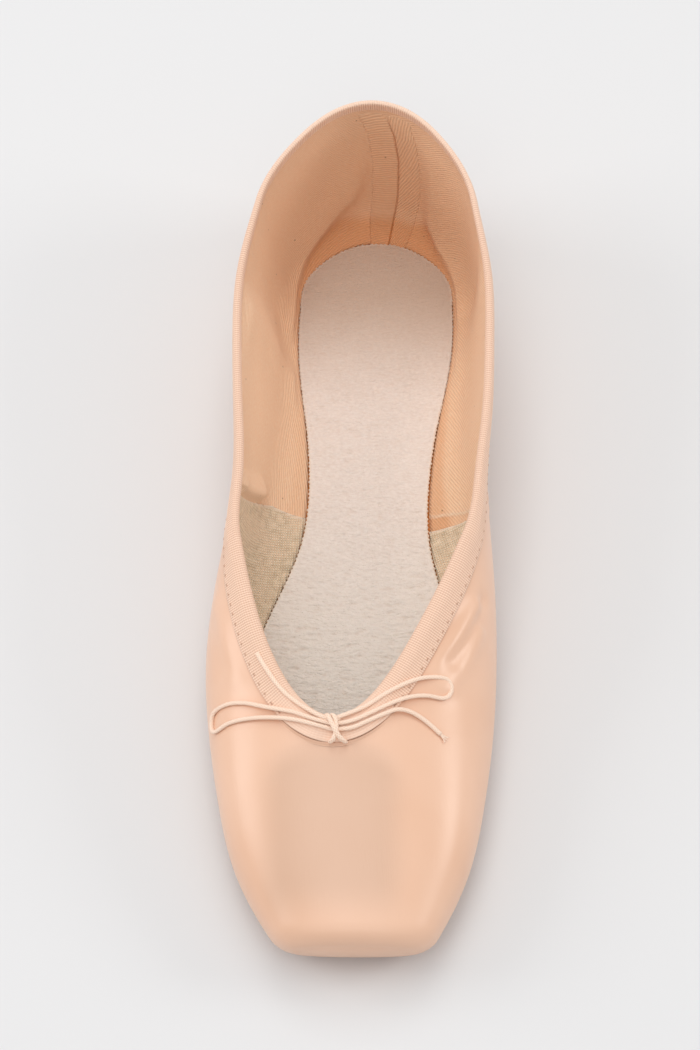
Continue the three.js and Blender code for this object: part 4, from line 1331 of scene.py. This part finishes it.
def tape_section():
    """Outer leg, fold and inner leg as arrays of places, then the same thinner underneath, back to the
    start."""
    walked, normals, down = walk_down(ring_run, ring_share, ring_hand, TAPE_OUTSIDE, OUTER_STRIDES)
    distance = np.linspace(0, TAPE_OUTSIDE, OUTER_STRIDES + 1)
    slit = smooth(from_throat, SLIT_FROM - 1, SLIT_FROM + 2) * (1 - smooth(from_throat, SLIT_TO - 6, SLIT_TO))
    gathered = 0.1 + 0.9 * smooth(from_throat, 6, 20)
    rib = np.cos(2 * np.pi * np.arange(RIBS * RIB_STEPS) / RIB_STEPS) * 0.5 + 0.5
    puff = PUFF * bump(from_throat, PUFF_REACH)
    slim = 1 - HEEL_SLIM * smooth(from_throat, 110, 190)
    wall = COLLAR_WALL * slim
    middle = walked[0] - normals[0] * wall[:, None] / 2

    def face(skin, ribbed):
        """Rows of places on one face of the tape: the outside with skin and ribs, or the underside."""
        def away(d):
            """Height above the cloth at a distance from the collar: channel, gathers, slit and ribs
            together."""
            edge = d / TAPE_OUTSIDE
            swell = CHANNEL_RISE * bump(d - CHANNEL_AT, CHANNEL_WIDTH) + puff * (1 - 0.5 * edge**2)
            flat = skin * (1 - 0.35 * edge**4) + swell
            ridges = ribbed * RIB_HEIGHT * rib * gathered
            return TAPE_CLEAR + flat * slim + SLIT_RISE * slit * edge**3 + ridges

        outer = [walked[k] + normals[k] * away(distance[k])[:, None] for k in OUTER_STEPS]
        reach = (wall / 2 + away(0.0))[:, None]
        fold = [middle + reach * (np.cos(a) * normals[0] - np.sin(a) * down) for a in FOLD_ANGLES]
        thinner = [1 - 0.12 * k for k in range(1, len(INNER_STEPS) + 1)]
        inner = [walked[k] - normals[k] * (wall + away(0.0) * part)[:, None]
                 for k, part in zip(INNER_STEPS, thinner)]
        return outer + fold + inner

    top, under = face(TAPE_SKIN, 1), face(0.0, 0)
    under = [under[row] for row in UNDER_ROWS]
    loop = np.array(top + under[::-1] + top[:1])
    tone = rib * gathered + 0.7 * (1 - gathered)
    ribs = np.array([tone] * len(loop))
    fold_rows = slice(len(OUTER_STEPS) - 1, len(OUTER_STEPS) + len(FOLD_ANGLES) - 2)
    # painted highlight on the heel's fold
    ribs[fold_rows] += (1 - ribs[fold_rows]) * FOLD_HIGHLIGHT * smooth(from_throat, 150, 200)
    shade = np.zeros(ribs.shape)
    shade[len(top):-1] = 0.5
    shade[[0, -1]] = 0.2 * slit
    return loop, ribs, shade


loop, ribs, shade = tape_section()
section = walked_along(loop[:, 0])
cloth = np.stack(np.broadcast_arrays(section[:, None], np.append(around, COLLAR_LENGTH)), -1)
loop, ribs, shade = (np.concatenate([part, part[:, :1]], axis=1) for part in (loop, ribs, shade))
piece("binding_tape", grid(loop, cloth, rib=ribs, shade=shade), TAPE, ["binding"])

# %% [markdown]
# ### Stitches
# A row of short stitches holds the tape's outer leg down. One stitch is a small bowed profile. The same
# shape is set at every mark round the collar at once, which is quicker than an object for each.

# %% Stitches along the tape's edge
STITCH_PITCH, STITCH_LENGTH, STITCH_WIDTH, STITCH_ABOVE_EDGE = 2.9, 1.25, 0.34, 0.8
STITCH_RISE, STITCH_BOW, STITCH_PUFF = 0.42, 0.16, 0.62  # height, bow, and share of the tape's puff


def stitches():
    """Short threads along the tape's lower edge: one small bowed profile, repeated at every mark at
    once."""
    count = int(COLLAR_LENGTH / STITCH_PITCH)
    run, share, hand, _ = collar_ring(count)
    walked, normals, _ = walk_down(run, share, hand, TAPE_OUTSIDE - STITCH_ABOVE_EDGE, 8)
    place, normal = walked[-1], normals[-1]
    along = unit(np.roll(place, -1, axis=0) - np.roll(place, 1, axis=0))
    side = np.cross(normal, along)
    part, angle = np.linspace(-1, 1, 7)[:, None], np.linspace(0, 2 * np.pi, 7)
    radius = STITCH_WIDTH / 2 * np.sqrt(1 - part**2)
    away = np.minimum(np.arange(count), count - np.arange(count)) * STITCH_PITCH
    raised = PUFF * bump(away, PUFF_REACH) * STITCH_PUFF
    bow = STITCH_RISE + STITCH_BOW * (1 - part**2) + radius * np.sin(angle)
    local = np.stack(np.broadcast_arrays(part * STITCH_LENGTH / 2, radius * np.cos(angle), bow), -1)
    axes = np.stack([along, side, normal], 1)
    places = (place + raised[:, None] * normal)[:, None, None] + np.einsum("ijk,nkc->nijc", local, axes)
    clear = away > SLIT_TO - 2
    cloth = np.stack(np.broadcast_arrays(angle, part), -1)
    return join(*[grid(each, cloth, flip=True, rib=0.0, shade=0.06) for each in places[clear]])


piece("binding_stitches", stitches(), TAPE)

# %% [markdown]
# ### Lip below the slit
# Below the slit, where the drawstring comes out, the satin is turned over into a narrow welt. It is a
# strip with a bell across it that follows the tape's edge and sinks into the satin at both ends, so that
# no gap shows.

# %% Lip below the slit
LIP_HEIGHT, LIP_WIDTH, LIP_REACH, LIP_SUNK = 0.5, 1.3, 17, 0.1
LIP_UNDER, LIP_MARKS = 0.3, 900  # how far it reaches under the tape's edge; marks round the whole collar


def throat_lip():
    """A narrow welt of satin just below the tape's raised edge: a bell across it, lower towards both
    ends."""
    run, share, hand, _ = collar_ring(LIP_MARKS)
    step = COLLAR_LENGTH / LIP_MARKS
    keep = np.r_[-int(LIP_REACH / step):int(LIP_REACH / step) + 1]
    edges = TAPE_OUTSIDE - LIP_UNDER, TAPE_OUTSIDE - LIP_UNDER + LIP_WIDTH
    near, far = (walk_down(run, share, hand, distance, 16) for distance in edges)
    part = np.linspace(0, 1, 13)[:, None, None]
    place = near[0][-1][keep] * (1 - part) + far[0][-1][keep] * part
    normal = unit(near[1][-1][keep] * (1 - part) + far[1][-1][keep] * part)
    taper = smooth(-np.abs(keep * step), -LIP_REACH, -LIP_REACH + 12)
    rise = LIP_HEIGHT * np.sin(np.pi * part[..., 0] ** 0.7) ** 2 * taper - LIP_SUNK
    cloth = np.stack(np.broadcast_arrays(part[..., 0] * LIP_WIDTH, keep * step), -1)
    return grid(place + rise[..., None] * normal, cloth, flip=True, seam=0.0, paste=0.0)


piece("throat_lip", throat_lip(), SATIN)

# %% [markdown]
# ## Insole and outsole
# The insole is a board with a brushed cover, cut a little ragged. Its plate follows the lift of the
# bottom, with a soft upper edge and a row of nubs along it. Below it shows the upper's edge, turned in
# under the board. The outsole keeps its CAD shape and only gets its leather.

# %% Room inside the shoe
TURN_IN_AT = OUTSOLE_THICK + GLUE / 2  # height of the upper's turned-in edge


def lining_reach(run, height):
    """Half the room between the linings at a height above the bottom."""
    def lining(share):
        """Places on the lining's face."""
        return on_last(run, share, 1.0) - TWILL_DEPTH * slopes(run, share, 1.0)[2]

    start, end = feather_share(run), np.full(run.shape, 0.5)
    share = last_true(start, end, lambda middle: lining(middle)[:, 2] < lift(run) + height)
    inner, straight = lining(share), np.minimum(run, HEEL_AT)
    return np.hypot(inner[:, 0] - column("mid", straight), inner[:, 1] - straight + MIDDLE)


def both_sides(stations, width, height):
    """Places left and right of the middle line: half-widths at heights above the bottom, on rows across the
    shoe that turn like a fan round the heel."""
    angle = (np.maximum(stations - HEEL_AT, 0) * TURN_PER_RUN)[:, None]
    straight = np.minimum(stations, HEEL_AT)
    mid = column("mid", straight)[:, None]
    y = straight[:, None] + width * np.sin(angle) - MIDDLE
    z = lift(stations)[:, None] + height + 0 * width
    return [np.stack([mid + hand * width * np.cos(angle), y, z], -1) for hand in (-1, 1)]


def flat_grid(sides, **values):
    """The left and right half of a flat piece as one, with the same values on both."""
    return join(*[grid(side, side[..., :2], flip, **values) for side, flip in zip(sides, (False, True))])


print("room at the ball:", round(2 * float(lining_reach(np.array([84.0]), TURN_IN_AT)[0]), 1), "mm")

# %% [markdown]
# ### Turned-in edge
# A shoemaker turns the upper's lower edge in and glues it between insole and outsole. A narrow line of it
# shows beside the insole, so a flat ring is enough.

# %% Turned-in edge


def turned_in_edge():
    """The upper's edge turned in between insole and outsole: a flat ring from under the insole into the
    lining."""
    stations = np.concatenate([np.linspace(SOLE_FROM + 8, HEEL_AT, 150), np.linspace(HEEL_AT, BACK, 50)[1:]])
    outer = lining_reach(stations, TURN_IN_AT) + 0.3
    width = np.stack([np.maximum(outer - 6, 0), outer - 3, outer], -1)
    # Its colour is full painted shade, standing in for the shadowed gap beside the insole.
    return flat_grid(both_sides(stations, width, TURN_IN_AT), edge=0.0, shade=1.0)


piece("turned_in_edge", turned_in_edge(), TWILL)

# %% [markdown]
# ### Insole plate
# The insole is a board with a brushed cover, cut a little smaller than the room inside. Rows across its
# outline give top, rounded edge and underside in one closed grid. Values for the painted light under the
# vamp and the darker tone towards the heel go along it.

# %% Insole plate
INSOLE_TOP = OUTSOLE_THICK + GLUE + INSOLE_THICK
EDGE_ROUND, EDGE_BEVEL, EDGE_CLEAR = 0.45, 0.12, 0.4
# How far the insole's outline stays inside the outsole's, at the waist, beside the heel and behind it
INSET_AT, INSETS = [165, 180, 195, 210, 225, 252], [0.4, 0.2, -0.3, -0.5, -0.2, 0.9]


def insole_places(stations, share, trim, drop):
    """Places on the plate for both hands: shares of the half-width, less a trim, at a drop below its
    top."""
    inset = np.interp(stations, INSET_AT, INSETS)
    reach = np.minimum(sole_reach(stations, 0.0) - inset, lining_reach(stations, INSOLE_TOP) - EDGE_CLEAR)
    return both_sides(stations, np.maximum(reach[:, None] - trim, 0) * share, INSOLE_TOP - drop)


def insole_tones(run):
    """Under the vamp the nap gets a painted light where the vamp shades it, and towards the heel it is
    darker.
    """
    return {"fresh_nap_and_painted_light": 0.8 * smooth(-run, -140, -70), "near_heel": 0.66 * smooth(run, 168, 215)}


def insole_plate():
    """Rows across the outline, closed by a thin wall: top, rounded edge, side and underside."""
    front = SOLE_FROM + INSOLE_INSET
    straight = front + (HEEL_AT - front) * np.linspace(0, 1, 170) ** 1.4
    stations = np.concatenate([straight, np.linspace(HEEL_AT, BACK, 50)[1:]])
    inner = np.linspace(0, 1, 24)[:-1]
    share = np.concatenate([inner, [1, 1, 1, 1], inner[::-1]])
    trim = np.concatenate([inner * 0 + EDGE_ROUND, [EDGE_ROUND, EDGE_BEVEL, 0, 0], inner * 0])
    drop = np.concatenate([inner * 0, [0, EDGE_BEVEL, EDGE_ROUND, INSOLE_THICK], inner * 0 + INSOLE_THICK])
    rim = np.concatenate([inner * 0, [0, 0.2, 0.6, 1], inner * 0 + 1])
    sides = insole_places(stations, share, trim, drop)
    return flat_grid(sides, rim=rim, **insole_tones(stations[:, None]))


piece("insole_napped", insole_plate(), NAP, ["insole"])

# %% [markdown]
# ### Cut edge of the insole
# Threads of the woven backing stand out along the cut edge as a row of small nubs. One low profile runs
# along the outline and swings in and out once for every thread, so the edge looks ragged without separate
# threads.

# %% Cut edge of the insole
EDGE_FROM = 50  # the insole's edge shows behind this run
NUB_PITCH, NUB_REACH = 1.3, 0.5  # threads of the cut edge
# The cut edge's profile: distance outwards, depth below the plate's top, and share of the threads' swing
NUB_PROFILE = [(-0.75, 0.02, 0.0), (-0.35, -0.05, 0.15), (0.0, 0.02, 1.0), (0.12, 0.35, 1.0), (0.0, 0.8, 0.6)]


def insole_nubs():
    """The cut edge: a low profile along the outline that swings in and out once for every thread."""
    stations = np.concatenate([np.linspace(EDGE_FROM, HEEL_AT, 900), np.linspace(HEEL_AT, BACK, 300)[1:]])
    left, right = (side[:, 0] for side in insole_places(stations, np.ones(1), 0.0, 0.0))
    line = np.concatenate([left, right[-2::-1]])
    walked = walked_along(line)
    even = np.arange(0, walked[-1], NUB_PITCH / 4)
    run = np.interp(even, walked, np.concatenate([stations, stations[-2::-1]]))
    line = at_distances(line, even)
    out = unit(np.cross(np.gradient(line, axis=0), [0, 0, 1.0])) * -1
    uneven = 0.7 + 0.3 * np.sin(even * 1.7) * np.sin(even * 0.37)
    swing = NUB_REACH * (0.5 + 0.5 * np.cos(2 * np.pi * even / NUB_PITCH)) * uneven
    across, down, share = np.array(NUB_PROFILE).T
    places = line[:, None] + out[:, None] * (across + swing[:, None] * share)[..., None]
    places[..., 2] -= down
    rim = share * (0.75 - 0.3 * smooth(run, 150, 200))[:, None]
    return grid(places, places[..., :2], rim=rim, **insole_tones(run[:, None]))


piece("insole_edge", insole_nubs(), NAP)

# %% [markdown]
# ### Outsole
# The outsole is one piece of leather whose CAD shape is already right, so it isn't built again. It only
# gets its finish.

# %% Outsole
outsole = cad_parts["outsole"]
outsole.data.materials.clear()
outsole.data.materials.append(LEATHER)
print("outsole in", LEATHER.name)

# %% [markdown]
# ## Studio
# The shoe stands on a pale floor in soft light: wide softboxes in front, overhead and behind light the
# vamp and the insole, one at either side gives the sheen on the shoulders, the left one larger and
# brighter, and a pale sky fills the shadows.

# %% Floor and light
FLOOR_REACH, FLOOR_TONE = 6.0, (0.73, 0.73, 0.735, 1)
SKY_TONE, SKY_STRENGTH = (0.98, 0.985, 1, 1), 0.6
# Softboxes: place and aim in metres, size, watts and colour
SOFTBOXES = {
    "front_light": ((-0.1, -0.75, 1.25), (0, 0, 0), 0.9, 2.65, (1, 0.99, 0.97)),
    "left_light": ((-1.0, 0.1, 0.6), (0, 0, 0.02), 0.6, 3.4, (1, 0.99, 0.98)),
    "right_light": ((1.0, 0.08, 0.55), (0, 0, 0.02), 0.4, 2.6, (1, 0.98, 0.95)),
    "top_light": ((-0.1, 0.0, 1.4), (0, 0, 0), 0.7, 2.8, (1, 0.99, 0.97)),
    "back_light": ((0.0, 0.65, 1.1), (0, -0.03, 0), 0.6, 2.8, (1, 0.99, 0.97)),
}
scene = bpy.context.scene
scene.view_settings.view_transform = "Standard"
floor_mesh = bpy.data.meshes.new("floor")
corner = np.array([[-1, -1, 0], [1, -1, 0], [1, 1, 0], [-1, 1, 0]]) * FLOOR_REACH
floor_mesh.from_pydata(corner.tolist(), [], [(0, 1, 2, 3)])
floor_finish, _, _ = new_finish("floor", Base_Color=FLOOR_TONE, Roughness=0.9)
floor_mesh.materials.append(floor_finish)
floor = bpy.data.objects.new("floor", floor_mesh)
scene.collection.objects.link(floor)
world = bpy.data.worlds.new("studio")
scene.world = world
world.use_nodes = True
sky = world.node_tree.nodes["Background"].inputs
sky["Color"].default_value, sky["Strength"].default_value = SKY_TONE, SKY_STRENGTH


def softbox(name, place, aim, size, watts, colour):
    """A square area light at a place, turned towards aim, in metres."""
    light = bpy.data.lights.new(name, "AREA")
    light.size, light.energy, light.color = size, watts, colour
    obj = bpy.data.objects.new(name, light)
    back = unit(np.array(place) - np.array(aim))
    side = unit(np.cross([0.0, 1.0, 0.001], back))
    turned = np.eye(4)
    turned[:3, 0], turned[:3, 1], turned[:3, 2], turned[:3, 3] = side, np.cross(back, side), back, place
    obj.matrix_world = Matrix(turned.tolist())
    scene.collection.objects.link(obj)


for name, settings in SOFTBOXES.items():
    softbox(name, *settings)
print(len(SOFTBOXES), "softboxes")
